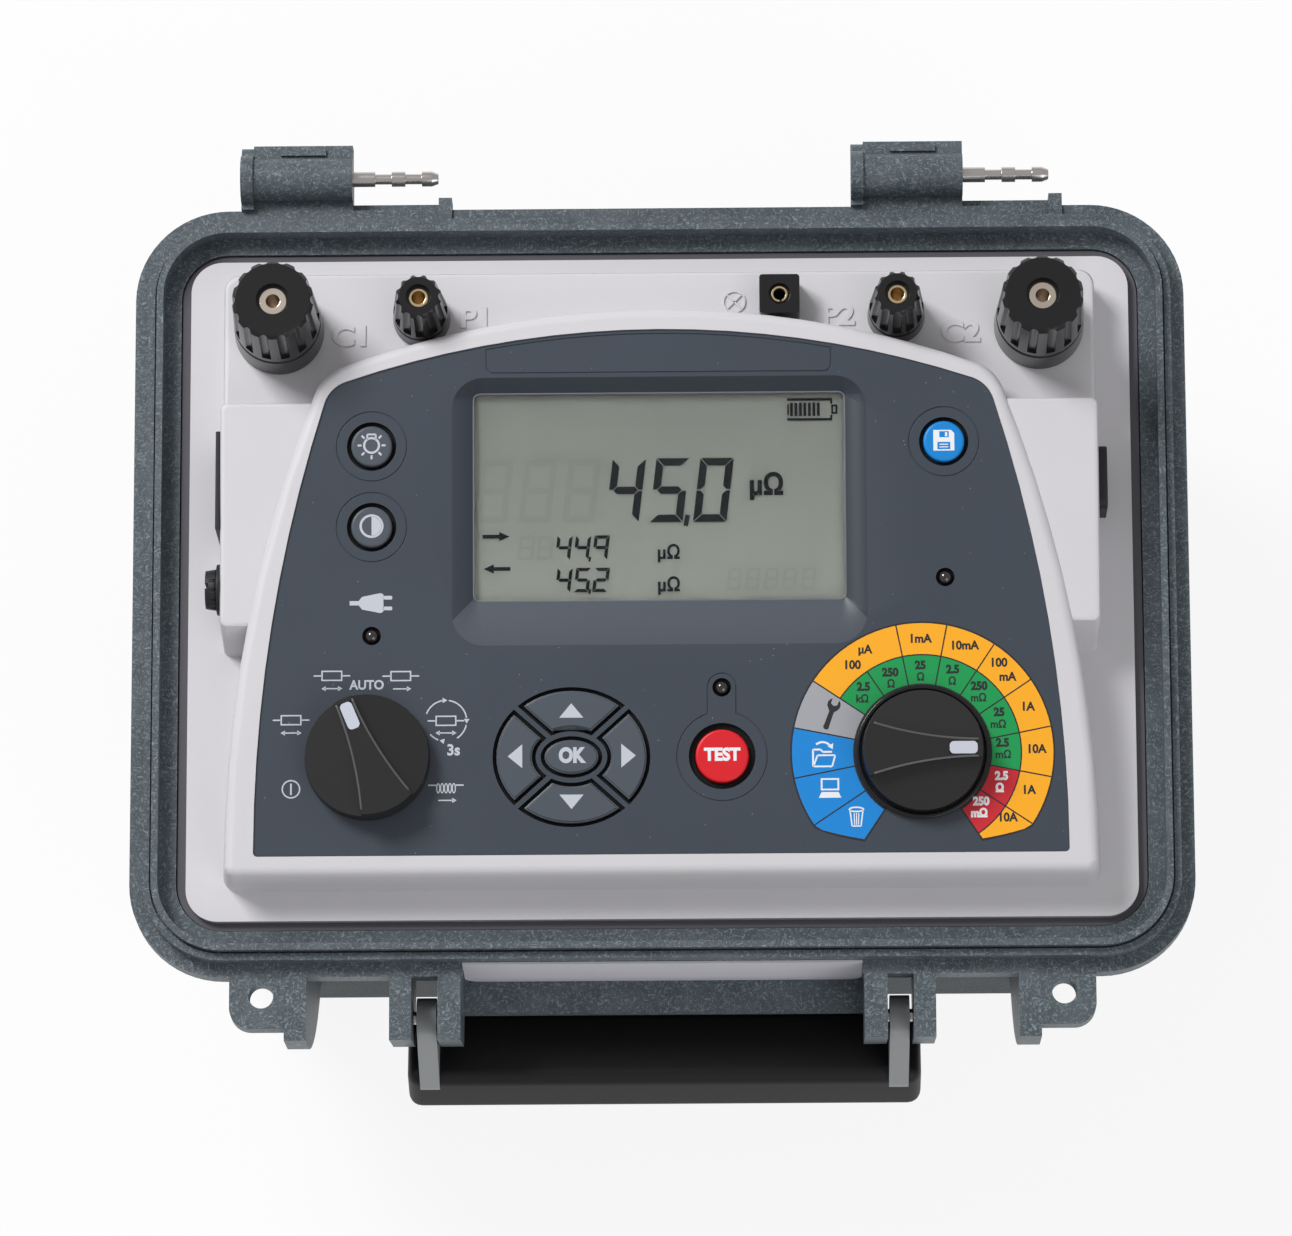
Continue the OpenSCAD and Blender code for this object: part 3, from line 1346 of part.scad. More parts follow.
case_shell();
padlock_lug_left();
padlock_lug_right();
case_feet();
hinge_pin_left();
hinge_pin_right();
name_strip();
panel_gasket();
front_panel();
overlay();
display_window();
display_module();
indicator_lamps();
key_mat();
main_board();
function_switch();
range_switch();
range_collar();
battery_pack();
power_supply();
heat_sink();
current_shunt();
mains_inlet();
fuse_holder();
fuse_cap();
data_socket();
probe_jack();
handle_pin_left();
handle_pin_right();
handle_frame();
handle_grip();
function_knob();
function_mark();
range_knob();
range_mark();
light_key();
contrast_key();
save_key();
test_key();
up_key();
down_key();
left_key();
right_key();
ok_key();
c1_collar();
c1_stud();
c1_ring();
c1_cap();
c2_collar();
c2_stud();
c2_ring();
c2_cap();
p1_collar();
p1_stud();
p1_ring();
p1_cap();
p2_collar();
p2_stud();
p2_ring();
p2_cap();
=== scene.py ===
"""Looks of a portable low-resistance ohmmeter in a rugged moulded case.

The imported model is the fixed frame. Each visible node of it is dressed: a copy of its mesh gets
rounded edges and a finish with its own grain. The print, the display's digits and the raised
letters are cut here as thin plates. Sizes are in millimetres, and MM turns them to metres.
"""

from __future__ import annotations

import json
import logging
from contextlib import contextmanager
from dataclasses import dataclass, field
from enum import Enum
from math import asin, atan2, cos, degrees, hypot, radians, sin, sqrt
from typing import Any, Iterable, Iterator, Sequence

import bpy
from mathutils import Matrix, Vector

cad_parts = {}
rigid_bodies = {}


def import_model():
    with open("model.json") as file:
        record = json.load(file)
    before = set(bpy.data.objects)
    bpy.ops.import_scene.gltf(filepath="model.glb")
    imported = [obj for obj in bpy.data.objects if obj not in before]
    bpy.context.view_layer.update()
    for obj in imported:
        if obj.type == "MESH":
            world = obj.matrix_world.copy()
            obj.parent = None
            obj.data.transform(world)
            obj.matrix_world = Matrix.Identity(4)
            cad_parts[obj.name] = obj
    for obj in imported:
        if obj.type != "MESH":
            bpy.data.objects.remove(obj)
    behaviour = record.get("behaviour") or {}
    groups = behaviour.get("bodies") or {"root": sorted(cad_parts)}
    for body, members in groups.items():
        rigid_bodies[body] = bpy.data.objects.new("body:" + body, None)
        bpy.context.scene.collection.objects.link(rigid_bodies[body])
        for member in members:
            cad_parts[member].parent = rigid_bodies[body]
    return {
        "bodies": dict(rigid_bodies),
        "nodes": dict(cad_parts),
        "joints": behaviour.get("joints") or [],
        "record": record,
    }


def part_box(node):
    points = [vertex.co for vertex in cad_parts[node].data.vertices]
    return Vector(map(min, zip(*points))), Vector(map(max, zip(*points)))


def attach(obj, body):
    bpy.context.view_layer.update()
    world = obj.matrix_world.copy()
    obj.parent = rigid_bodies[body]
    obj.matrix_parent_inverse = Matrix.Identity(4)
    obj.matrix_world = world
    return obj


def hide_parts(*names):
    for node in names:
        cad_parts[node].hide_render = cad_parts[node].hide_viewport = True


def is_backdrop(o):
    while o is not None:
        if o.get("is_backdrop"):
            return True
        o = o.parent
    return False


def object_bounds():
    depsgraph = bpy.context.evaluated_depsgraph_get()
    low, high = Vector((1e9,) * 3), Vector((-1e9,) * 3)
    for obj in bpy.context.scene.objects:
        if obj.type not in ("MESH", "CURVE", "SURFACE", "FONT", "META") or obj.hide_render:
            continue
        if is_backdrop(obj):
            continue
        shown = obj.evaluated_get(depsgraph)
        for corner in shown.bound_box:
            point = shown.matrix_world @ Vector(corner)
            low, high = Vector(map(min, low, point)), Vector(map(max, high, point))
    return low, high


LOG = logging.getLogger("ohmmeter")
MM = 0.001
Thing = bpy.types.Object
Socket = bpy.types.NodeSocket
Tree = bpy.types.NodeTree
Point = tuple[float, float]
Outline = list[Point]
Colour = tuple[float, float, float]
Screen = tuple[int, int, int]


def display_colour(red: int, green: int, blue: int) -> Colour:
    """Turns a colour as a screen shows it into linear light.

    Args:
        red: Red, from 0 to 255.
        green: Green, from 0 to 255.
        blue: Blue, from 0 to 255.

    Returns:
        The three linear values.
    """
    shares = [value / 255 for value in (red, green, blue)]
    linear = [s / 12.92 if s <= 0.04045 else ((s + 0.055) / 1.055) ** 2.4 for s in shares]
    return linear[0], linear[1], linear[2]


# Shader trees


class Board:
    """A node tree with short calls that add nodes and wire them."""

    def __init__(self, tree: Tree) -> None:
        """Keeps the tree and clears what is in it."""
        self.tree = tree
        self.tree.nodes.clear()

    def add(self, kind: str, inputs: dict | None = None, **settings: Any) -> bpy.types.Node:
        """Adds a node.

        Args:
            kind: Blender's name of the node type.
            inputs: A value or another node's socket for each named or numbered input.
            settings: Properties of the node itself.

        Returns:
            The new node.
        """
        node = self.tree.nodes.new(kind)
        for name, value in settings.items():
            setattr(node, name, value)
        for key, value in (inputs or {}).items():
            if isinstance(value, Socket):
                self.tree.links.new(value, node.inputs[key])
            else:
                node.inputs[key].default_value = value
        return node

    def maths(self, operation: str, first: Any, second: Any = 0.0) -> Socket:
        """Adds a Math node and returns its output."""
        return self.add("ShaderNodeMath", {0: first, 1: second}, operation=operation).outputs[0]

    def remap(self, value: Any, low: float, high: float, to_low: Any, to_high: Any) -> Socket:
        """Adds a clamped Map Range node and returns its output."""
        inputs = {"Value": value, "From Min": low, "From Max": high, "To Min": to_low, "To Max": to_high}
        return self.add("ShaderNodeMapRange", inputs).outputs["Result"]

    def place(self) -> Socket:
        """Adds the object's own coordinates and returns their output."""
        return self.add("ShaderNodeTexCoord").outputs["Object"]

    def noise(self, place: Any, scale: Any, detail: float, output: str = "Fac", **more: float) -> Socket:
        """Adds a Noise Texture node and returns one of its outputs."""
        inputs = {"Vector": place, "Scale": scale, "Detail": detail} | more
        return self.add("ShaderNodeTexNoise", inputs).outputs[output]

    def cells(self, place: Any, scale: Any) -> Socket:
        """Adds a Voronoi Texture node and returns the distance to its cells' middles."""
        return self.add("ShaderNodeTexVoronoi", {"Vector": place, "Scale": scale}).outputs["Distance"]

    def vector(self, operation: str, first: Any, second: Any) -> Socket:
        """Adds a Vector Math node and returns its output. A scaling has its factor in the fourth input."""
        inputs = {0: first, 3 if operation == "SCALE" else 1: second}
        return self.add("ShaderNodeVectorMath", inputs, operation=operation).outputs[0]

    def blend(self, share: Any, first: Any, second: Any) -> Socket:
        """Adds a Mix node for two colours and returns its output."""
        return self.add("ShaderNodeMix", {0: share, 6: first, 7: second}, data_type="RGBA").outputs[2]

    def group(self, tree: Tree, inputs: dict) -> bpy.types.bpy_prop_collection:
        """Adds a shared group and returns its outputs."""
        return self.add("ShaderNodeGroup", inputs, node_tree=tree).outputs


class Effect(Enum):
    """The effects that several materials share, each a node group."""

    GRAIN = "moulded_grain"
    FLECKS = "flecks_in_the_moulding"
    TONE = "uneven_tone"
    TURNING = "turning_marks"


# The groups' sockets that carry a colour; all others carry a number
COLOUR_SOCKETS = ("Color", "Fleck")
PALE_DUST = (0.55, 0.56, 0.58, 1.0)


class EffectLibrary:
    """Builds each effect's node group once and hands it out."""

    def __init__(self) -> None:
        """Starts with no group built."""
        self.built: dict[Effect, Tree] = {}

    def get(self, effect: Effect) -> Tree:
        """Returns an effect's group, and builds it the first time."""
        if effect not in self.built:
            makers = {
                Effect.GRAIN: self._grain,
                Effect.FLECKS: self._flecks,
                Effect.TONE: self._tone,
                Effect.TURNING: self._turning,
            }
            self.built[effect] = bpy.data.node_groups.new(effect.value, "ShaderNodeTree")
            makers[effect](self.built[effect])
        return self.built[effect]

    @staticmethod
    def _open(tree: Tree, inputs: Sequence[str], outputs: Sequence[str]) -> tuple[Board, Any, Any]:
        """Names a group's sockets and starts its tree.

        Args:
            tree: The empty group.
            inputs: The names of its inputs.
            outputs: The names of its outputs.

        Returns:
            The board, what the group is given, and the object's own coordinates.
        """
        for names, side in ((inputs, "INPUT"), (outputs, "OUTPUT")):
            for name in names:
                kind = "NodeSocketColor" if name in COLOUR_SOCKETS else "NodeSocketFloat"
                tree.interface.new_socket(name=name, in_out=side, socket_type=kind)
        board = Board(tree)
        return board, board.add("NodeGroupInput").outputs, board.place()

    def _grain(self, tree: Tree) -> None:
        """Pits and ridges of a textured mould, as a height from 0 to 1."""
        board, given, place = self._open(tree, ("Scale", "Pits"), ("Height",))
        pits = board.remap(board.cells(place, given["Scale"]), 0.0, 0.7, 0.0, 1.0)
        sunk = board.maths("MULTIPLY", pits, given["Pits"])
        height = board.maths("ADD", board.noise(place, given["Scale"], 3.0), sunk)
        board.add("NodeGroupOutput", {"Height": height})

    def _flecks(self, tree: Tree) -> None:
        """Pale specks and cloudy streaks in a dark moulding."""
        board, given, place = self._open(tree, ("Color", "Fleck", "Scale", "Share"), ("Color",))
        swirl = board.noise(place, board.maths("MULTIPLY", given["Scale"], 0.12), 1.0, "Color")
        moved = board.vector("ADD", place, board.vector("SCALE", swirl, 0.004))
        edge = board.maths("SUBTRACT", 0.72, board.maths("MULTIPLY", given["Share"], 0.2))
        wide = board.noise(place, board.maths("MULTIPLY", given["Scale"], 0.05), 4.0)
        share = board.remap(wide, 0.40, 0.75, 0.0, 0.22)
        for stretch in ((1.0, 0.28, 1.0), (0.28, 1.0, 0.6), (0.7, 0.7, 0.3)):
            fibres = board.noise(board.vector("MULTIPLY", moved, stretch), given["Scale"], 1.0, Distortion=0.6)
            share = board.maths("MAXIMUM", share, board.remap(fibres, edge, 0.78, 0.0, 1.0))
        board.add("NodeGroupOutput", {"Color": board.blend(share, given["Color"], given["Fleck"])})

    def _tone(self, tree: Tree) -> None:
        """A slow drift of brightness and gloss, with a few grains of pale dust."""
        board, given, place = self._open(tree, ("Color", "Drift", "Dust", "Roughness"), ("Color", "Roughness"))
        slow = board.maths("SUBTRACT", board.noise(place, 22.0, 3.0), 0.5)
        drift = board.maths("MULTIPLY", slow, given["Drift"])
        scaled = board.vector("SCALE", given["Color"], board.maths("ADD", 1.0, drift))
        dust = board.maths("MULTIPLY", board.remap(board.cells(place, 260.0), 0.035, 0.05, 1.0, 0.0), given["Dust"])
        rough = board.maths("ADD", given["Roughness"], board.maths("MULTIPLY", drift, 0.8))
        board.add("NodeGroupOutput", {"Color": board.blend(dust, scaled, PALE_DUST), "Roughness": rough})

    def _turning(self, tree: Tree) -> None:
        """Fine marks of a lathe tool, across the X axis or across Z."""
        board, given, place = self._open(tree, ("Scale", "Along Z"), ("Height",))
        parts = board.add("ShaderNodeSeparateXYZ", {0: place}).outputs
        along = board.add("ShaderNodeMix", {0: given["Along Z"], 2: parts[0], 3: parts[2]}).outputs[0]
        inputs = {"W": along, "Scale": given["Scale"], "Detail": 2.0}
        lines = board.add("ShaderNodeTexNoise", inputs, noise_dimensions="1D")
        board.add("NodeGroupOutput", {"Height": lines.outputs["Fac"]})


@dataclass(frozen=True)
class Finish:
    """One surface finish: its colour, gloss and grain."""

    name: str
    slot: str
    colour: Colour
    roughness: float
    metallic: float = 0.0
    # Grains a metre, their height in mm, and how far they are pits
    grain_scale: float = 0.0
    grain_height: float = 0.0
    pits: float = 0.0
    # Pale flecks in the moulding
    fleck: Colour | None = None
    fleck_share: float = 0.0
    # Slow drift of tone, and dust
    drift: float = 0.10
    dust: float = 0.0
    coat: float = 0.0
    # Level of the plain reflection, half of it being that of common plastics
    gloss: float = 0.5
    transmission: float = 0.0
    ior: float = 1.5
    # Turning marks across X (0) or Z (1) in place of the grain
    turned: float | None = None

    def material(self, effects: EffectLibrary) -> bpy.types.Material:
        """Returns the finish's material, and builds it the first time.

        Args:
            effects: The library of shared node groups.

        Returns:
            The material.
        """
        known = bpy.data.materials.get(self.name)
        if known:
            return known
        made = bpy.data.materials.new(self.name)
        made.use_nodes = True
        made.diffuse_color = (*self.colour, 1.0)
        board = Board(made.node_tree)
        colour = self.base_colour(board)
        if self.fleck:
            inputs = {"Color": colour, "Fleck": (*self.fleck, 1.0), "Scale": self.grain_scale,
                      "Share": self.fleck_share}
            colour = board.group(effects.get(Effect.FLECKS), inputs)["Color"]
        inputs = {"Color": colour, "Drift": self.drift, "Dust": self.dust, "Roughness": self.roughness}
        tone = board.group(effects.get(Effect.TONE), inputs)
        shader = board.add("ShaderNodeBsdfPrincipled", {
            "Base Color": tone["Color"], "Roughness": tone["Roughness"],
            "Metallic": self.metallic, "Coat Weight": self.coat, "Coat Roughness": 0.12,
            "Specular IOR Level": self.gloss, "IOR": self.ior, "Transmission Weight": self.transmission})
        if self.grain_height:
            effect, value = Effect.GRAIN, {"Pits": self.pits}
            if self.turned is not None:
                effect, value = Effect.TURNING, {"Along Z": self.turned}
            height = board.group(effects.get(effect), {"Scale": self.grain_scale} | value)[0]
            bump = board.add("ShaderNodeBump", {"Height": height, "Strength": 1.0,
                                                "Distance": self.grain_height * MM})
            board.tree.links.new(bump.outputs[0], shader.inputs["Normal"])
        board.add("ShaderNodeOutputMaterial", {"Surface": shader.outputs[0]})
        return made

    def base_colour(self, board: Board) -> Any:
        """Returns the colour that the effects start from: a plain value here."""
        return *self.colour, 1.0


@dataclass(frozen=True)
class DisplayFinish(Finish):
    """The face of a liquid crystal display, darker towards its top edge as painted shade."""

    # The field's back and front edges in the model, in m, and the share of the colour left at the back; the ramp
    # between them is painted shade
    back: float = 0.060
    front: float = -0.004
    darkest: float = 0.72

    def base_colour(self, board: Board) -> Any:
        """Returns the face's colour scaled by a ramp of painted shade along the display."""
        along = board.add("ShaderNodeSeparateXYZ", {0: board.place()}).outputs[1]
        share = board.remap(along, self.front, self.back, 1.0, self.darkest)
        return board.vector("SCALE", self.colour, share)


def moulding(name: str, slot: str, screen: Screen, roughness: float, **more: Any) -> Finish:
    """Returns a fine spark-textured moulding finish with what is given changed."""
    values = {"grain_scale": 4200.0, "grain_height": 0.012, "pits": 0.4, "drift": 0.06} | more
    return Finish(name, slot, display_colour(*screen), roughness, **values)


def speckled(name: str, screen: Screen, fleck: Screen, roughness: float, gloss: float) -> Finish:
    """Returns the finish of the case's moulding, with pale flecks in a dark ground."""
    return Finish(name, "case", display_colour(*screen), roughness, grain_scale=1900.0, grain_height=0.05, pits=0.5,
                  fleck=display_colour(*fleck), fleck_share=0.75, drift=0.18, gloss=gloss)


def metal(name: str, slot: str, colour: Colour, roughness: float, grain_scale: float = 3000.0,
          **more: float) -> Finish:
    """Returns a metal with turning marks, its colour given in linear light."""
    values = {"grain_height": 0.010, "turned": 1.0} | more
    return Finish(name, slot, colour, roughness, 1.0, grain_scale, **values)


def ink(name: str, slot: str, screen: Screen) -> Finish:
    """Returns the finish of a screen print."""
    return Finish(name, slot, display_colour(*screen), 0.45, grain_scale=2600.0, grain_height=0.004, drift=0.03)


FILM = {"grain_height": 0.006, "gloss": 0.35}
KEYCAP = {"grain_height": 0.006, "gloss": 0.4}
CASE = speckled("case_polymer", (70, 80, 87), (132, 142, 147), 0.48, 0.4)
# Painted shade: the case moulding made darker for the tub's front wall under the flange
CASE_PAINTED_SHADE = speckled("case_polymer_painted_shade", (44, 51, 56), (86, 94, 99), 0.6, 0.2)
FEET = moulding("foot_rubber", "rubber", (34, 35, 38), 0.75)
PIN_STEEL = metal("hinge_pin_steel", "steel", (0.62, 0.58, 0.56), 0.24, 5200.0, turned=0.0, drift=0.08)
STRIP = moulding("name_strip_face", "strip", (214, 213, 221), 0.42)
GASKET = moulding("gasket_rubber", "gasket", (92, 90, 96), 0.7)
PANEL = moulding("panel_moulding", "panel", (213, 211, 215), 0.46, dust=0.10, gloss=0.35)
OVERLAY = moulding("overlay_film", "overlay", (64, 71, 81), 0.40, dust=0.40, drift=0.12, **FILM)
# Painted highlight and painted shade: lighter and darker copies of the film for the walls of the display's surround
DISH_PAINTED_HIGHLIGHT = moulding("dish_front_wall_painted_highlight", "overlay", (79, 85, 95), 0.40, **FILM)
DISH_PAINTED_SHADE = moulding("dish_side_wall_painted_shade", "overlay", (56, 62, 72), 0.40, **FILM)
# Painted highlight: a pale colour for the thin rim round the display's window
RIM_PAINTED_HIGHLIGHT = moulding("window_rim_painted_highlight", "overlay", (112, 116, 122), 0.35, grain_height=0.004)
WINDOW = Finish("window_pane", "window", (0.97, 0.98, 0.97), 0.0, transmission=1.0, ior=1.15, drift=0.0)
# Painted shade: the display's face and its idle segments darken towards the top
GLASS_FACE = DisplayFinish("display_glass", "display", display_colour(131, 134, 128), 0.42, grain_scale=2400.0,
                           grain_height=0.010, gloss=0.3)
GHOST = DisplayFinish("display_idle_segments", "display", display_colour(126, 129, 123), 0.42, gloss=0.3)
SEGMENTS = Finish("display_segments", "display", display_colour(14, 17, 23), 0.50, drift=0.05, gloss=0.15)
LAMP = Finish("lamp_lens", "lamp", display_colour(34, 26, 28), 0.08, coat=1.0)
# Painted shade: near black for the floors and walls of the wells round keys and lamps
WELL_PAINTED_SHADE = moulding("well_painted_shadow", "switch", (10, 10, 12), 0.6, gloss=0.2)
BLACK = Finish("black_bakelite", "black", display_colour(25, 25, 27), 0.24, grain_scale=3000.0,
               grain_height=0.004, drift=0.12, coat=0.2, gloss=0.3)
KNOB = moulding("knob_black", "knob", (32, 31, 32), 0.34, grain_height=0.02, gloss=0.45)
# Painted highlight: the lips are paler than the knob
KNOB_LIP_PAINTED_HIGHLIGHT = moulding("knob_lip_painted_highlight", "knob", (88, 88, 90), 0.30, grain_height=0.0)
MARK = moulding("knob_mark_insert", "mark", (200, 205, 218), 0.4, grain_height=0.004)
KEY = moulding("key_slate", "key", (78, 85, 94), 0.40, **KEYCAP)
KEY_BLUE = moulding("key_blue", "blue_key", (12, 134, 214), 0.40, **KEYCAP)
KEY_RED = moulding("key_red", "red_key", (220, 26, 38), 0.40, **KEYCAP)
BRASS = metal("terminal_brass", "brass", (0.78, 0.60, 0.36), 0.22, 4200.0, grain_height=0.012, drift=0.12)
PLATED = metal("plated_post", "brass", (0.76, 0.66, 0.56), 0.22, 4200.0, grain_height=0.012, drift=0.12)
WASHER = metal("washer_plate", "washer", (0.62, 0.61, 0.60), 0.3)
ARM = moulding("handle_arm_grey", "arm", (148, 151, 153), 0.42)
GRIP = moulding("grip_rubber", "grip", (20, 20, 22), 0.5, grain_height=0.03, grain_scale=2600.0, gloss=0.3)
BOARD = Finish("circuit_board", "board", display_colour(36, 96, 58), 0.4, grain_scale=900.0, grain_height=0.02)
SWITCH = moulding("switch_body", "switch", (38, 39, 42), 0.5, gloss=0.3)
MAT = moulding("key_mat_rubber", "mat", (58, 60, 63), 0.7)
SLEEVE = Finish("battery_sleeve", "battery", display_colour(46, 104, 158), 0.35)
SUPPLY = Finish("supply_board", "supply", display_colour(44, 92, 62), 0.45)
ALUMINIUM = metal("heat_sink_metal", "aluminium", (0.58, 0.59, 0.61), 0.4)
PALE_INK = ink("pale_ink", "panel", (196, 201, 211))
WHITE_INK = ink("white_ink", "panel", (240, 242, 246))
DARK_INK = ink("dark_ink", "black", (30, 34, 36))
LINE_INK = ink("dial_line_ink", "black", (34, 32, 36))
YELLOW_INK = ink("yellow_ink", "overlay", (255, 176, 24))
GREEN_INK = ink("green_ink", "overlay", (2, 154, 78))
RED_INK = ink("red_ink", "overlay", (204, 32, 46))
BLUE_INK = ink("blue_ink", "overlay", (0, 134, 216))
GREY_INK = ink("grey_ink", "overlay", (164, 166, 172))


# Handling of objects

# Distances in mm under which points merge, in flat work and in a node's copy
FINE_MERGE = 0.0005
NODE_MERGE = 0.002
# Angles in degrees: faces that lie this flat are one, and edges under this are shaded smooth
FLAT_ANGLE = 0.8
SMOOTH_ANGLE = 40.0


def drop_selection() -> None:
    """Deselects everything."""
    for thing in list(bpy.context.selected_objects):
        thing.select_set(False)


def select(*things: Thing) -> Thing:
    """Selects these objects alone, makes the first one active and returns it."""
    drop_selection()
    for thing in things:
        thing.select_set(True)
    bpy.context.view_layer.objects.active = things[0]
    return things[0]


@contextmanager
def whole_mesh(thing: Thing, merge: float) -> Iterator[None]:
    """Opens a mesh with everything selected and its doubles merged.

    Args:
        thing: The mesh object.
        merge: The distance under which points merge, in mm.
    """
    select(thing)
    bpy.ops.object.mode_set(mode="EDIT")
    bpy.ops.mesh.select_all(action="SELECT")
    bpy.ops.mesh.remove_doubles(threshold=merge * MM)
    yield
    bpy.ops.object.mode_set(mode="OBJECT")


def clean_mesh(thing: Thing) -> None:
    """Merges doubles and turns the faces outwards."""
    with whole_mesh(thing, FINE_MERGE):
        bpy.ops.mesh.normals_make_consistent(inside=False)


def poly_curve(outlines: Iterable[Outline], dimensions: str, closed: bool) -> Thing:
    """Makes a curve of straight strokes.

    Args:
        outlines: The points of each stroke, in mm.
        dimensions: "2D" or "3D", as Blender names them.
        closed: Whether each stroke ends where it starts.

    Returns:
        The curve object.
    """
    data = bpy.data.curves.new("plate", "CURVE")
    data.dimensions = dimensions
    for outline in outlines:
        spline = data.splines.new("POLY")
        spline.points.add(len(outline) - 1)
        for point, (x, y) in zip(spline.points, outline):
            point.co = (x * MM, y * MM, 0.0, 1.0)
        spline.use_cyclic_u = closed
    piece = bpy.data.objects.new("plate", data)
    bpy.context.scene.collection.objects.link(piece)
    return piece


@dataclass
class Shop:
    """What every sub-assembly works with: the frame, the effects and the rules for a piece."""

    frame: dict
    effects: EffectLibrary = field(default_factory=EffectLibrary)

    def body_of(self, node: str) -> str:
        """Returns the name of the body that a node rides on."""
        bodies = self.frame["record"]["behaviour"]["bodies"]
        return next(body for body, nodes in bodies.items() if node in nodes)

    def joint(self, name: str) -> dict:
        """Returns a joint as the frame describes it."""
        return next(joint for joint in self.frame["joints"] if joint["name"] == name)

    def paint(self, thing: Thing, finish: Finish) -> None:
        """Gives an object its one material."""
        thing.data.materials.clear()
        thing.data.materials.append(finish.material(self.effects))

    def place(self, piece: Thing, name: str, body: str, finish: Finish) -> Thing:
        """Names a finished piece, paints it and lets it ride on its body.

        Args:
            piece: The object, in place.
            name: The piece's name.
            body: The body that it rides on.
            finish: Its finish.

        Returns:
            The piece.
        """
        select(piece)
        bpy.ops.object.transform_apply(location=True, rotation=True, scale=True)
        piece.name = name
        piece.data.name = name
        self.paint(piece, finish)
        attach(piece, body)
        LOG.info("%s rides on %s", name, body)
        return piece

    def lay(self, stencil: Stencil, plane: Plane, span: Point, name: str, finish: Finish, body: str = "root") -> None:
        """Cuts a stencil and places it.

        Args:
            stencil: The flat shapes and words.
            plane: The plane that they lie on.
            span: Heights of their underside and their top above it, in mm.
            name: The piece's name.
            finish: Its finish.
            body: The body that it rides on.
        """
        self.place(stencil.cut(plane, *span), name, body, finish)

    def soften(self, node: str, finish: Finish, width: float, angle: float = 35.0,
               segments: int = 2) -> Thing:
        """Dresses a node: a merged copy with rounded edges stands for it.

        Args:
            node: The node that the copy replaces.
            finish: The copy's finish.
            width: The width of the rounding, in mm.
            angle: The least angle of an edge that is rounded, in degrees.
            segments: The steps of the rounding.

        Returns:
            The dressed piece.
        """
        piece = bpy.data.objects.new(node + "_dressed", self.frame["nodes"][node].data.copy())
        bpy.context.scene.collection.objects.link(piece)
        select(piece)
        if piece.data.has_custom_normals:
            bpy.ops.mesh.customdata_custom_splitnormals_clear()
        with whole_mesh(piece, NODE_MERGE):
            bpy.ops.mesh.dissolve_limited(angle_limit=radians(FLAT_ANGLE))
        if width:
            self.round_edges(piece, width, segments, angle)
        self.shade(piece)
        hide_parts(node)
        return self.place(piece, piece.name, self.body_of(node), finish)

    @staticmethod
    def round_edges(piece: Thing, width: float, segments: int, angle: float = 35.0) -> None:
        """Rounds the edges of a piece that turn by more than an angle in degrees, with a width in mm."""
        select(piece)
        bevel = piece.modifiers.new("edges", "BEVEL")
        bevel.width = width * MM
        bevel.segments = segments
        bevel.limit_method = "ANGLE"
        bevel.angle_limit = radians(angle)
        bevel.use_clamp_overlap = True
        bpy.ops.object.modifier_apply(modifier=bevel.name)

    @staticmethod
    def shade(piece: Thing) -> None:
        """Shades a piece smooth, with its wide flats kept flat."""
        bpy.ops.object.shade_smooth_by_angle(angle=radians(SMOOTH_ANGLE))
        flats = piece.modifiers.new("flats", "WEIGHTED_NORMAL")
        flats.keep_sharp = True
        bpy.ops.object.modifier_apply(modifier=flats.name)

    def leave(self, node: str, finish: Finish) -> None:
        """Keeps a node's own mesh and gives it a finish."""
        self.paint(self.frame["nodes"][node], finish)
        LOG.info("%s keeps its own mesh", node)


# Flat work: prints, digits and raised letters


@dataclass
class Plane:
    """A flat place with its own axes, such as the sloping console."""

    origin: Vector
    right: Vector
    up: Vector
    normal: Vector

    def matrix(self, height: float) -> Matrix:
        """Returns the transform that lays flat work at a height in mm above the plane."""
        columns = (self.right, self.up, self.normal)
        turn = Matrix([[column[row] for column in columns] for row in range(3)]).to_4x4()
        return Matrix.Translation(self.origin + self.normal * height * MM) @ turn

    def local(self, point: Sequence[float]) -> Point:
        """Returns the place of a point of the model on the plane, in mm."""
        away = Vector(point) - self.origin
        return away.dot(self.right) / MM, away.dot(self.up) / MM


def level(origin: Vector) -> Plane:
    """Returns a level plane."""
    return Plane(origin, Vector((1, 0, 0)), Vector((0, 1, 0)), Vector((0, 0, 1)))


def circle(centre: Point, radius: float) -> Outline:
    """Returns the outline of a circle in 48 steps."""
    return arc(centre, radius, 0.0, 352.5, 47)


def arc(centre: Point, radius: float, start: float, stop: float, steps: int = 16) -> Outline:
    """Returns points of an arc, with angles in degrees counted from the right, turning left.

    Args:
        centre: The arc's centre.
        radius: Its radius.
        start: The first point's angle.
        stop: The last point's angle.
        steps: The number of steps.

    Returns:
        The points.
    """
    angles = [radians(start + (stop - start) * i / steps) for i in range(steps + 1)]
    return [(centre[0] + radius * cos(a), centre[1] + radius * sin(a)) for a in angles]


def shifted(outline: Outline, by: Point, turn: float = 0.0) -> Outline:
    """Returns an outline turned in degrees and moved."""
    c, s = cos(radians(turn)), sin(radians(turn))
    return [(by[0] + x * c - y * s, by[1] + x * s + y * c) for x, y in outline]


def oval(centre: Point, across: float, along: float, step: int) -> Outline:
    """Returns the outline of an oval given its half sizes, with a point at each step in degrees."""
    turns = [radians(a) for a in range(0, 360, step)]
    return [(centre[0] + across * cos(a), centre[1] + along * sin(a)) for a in turns]


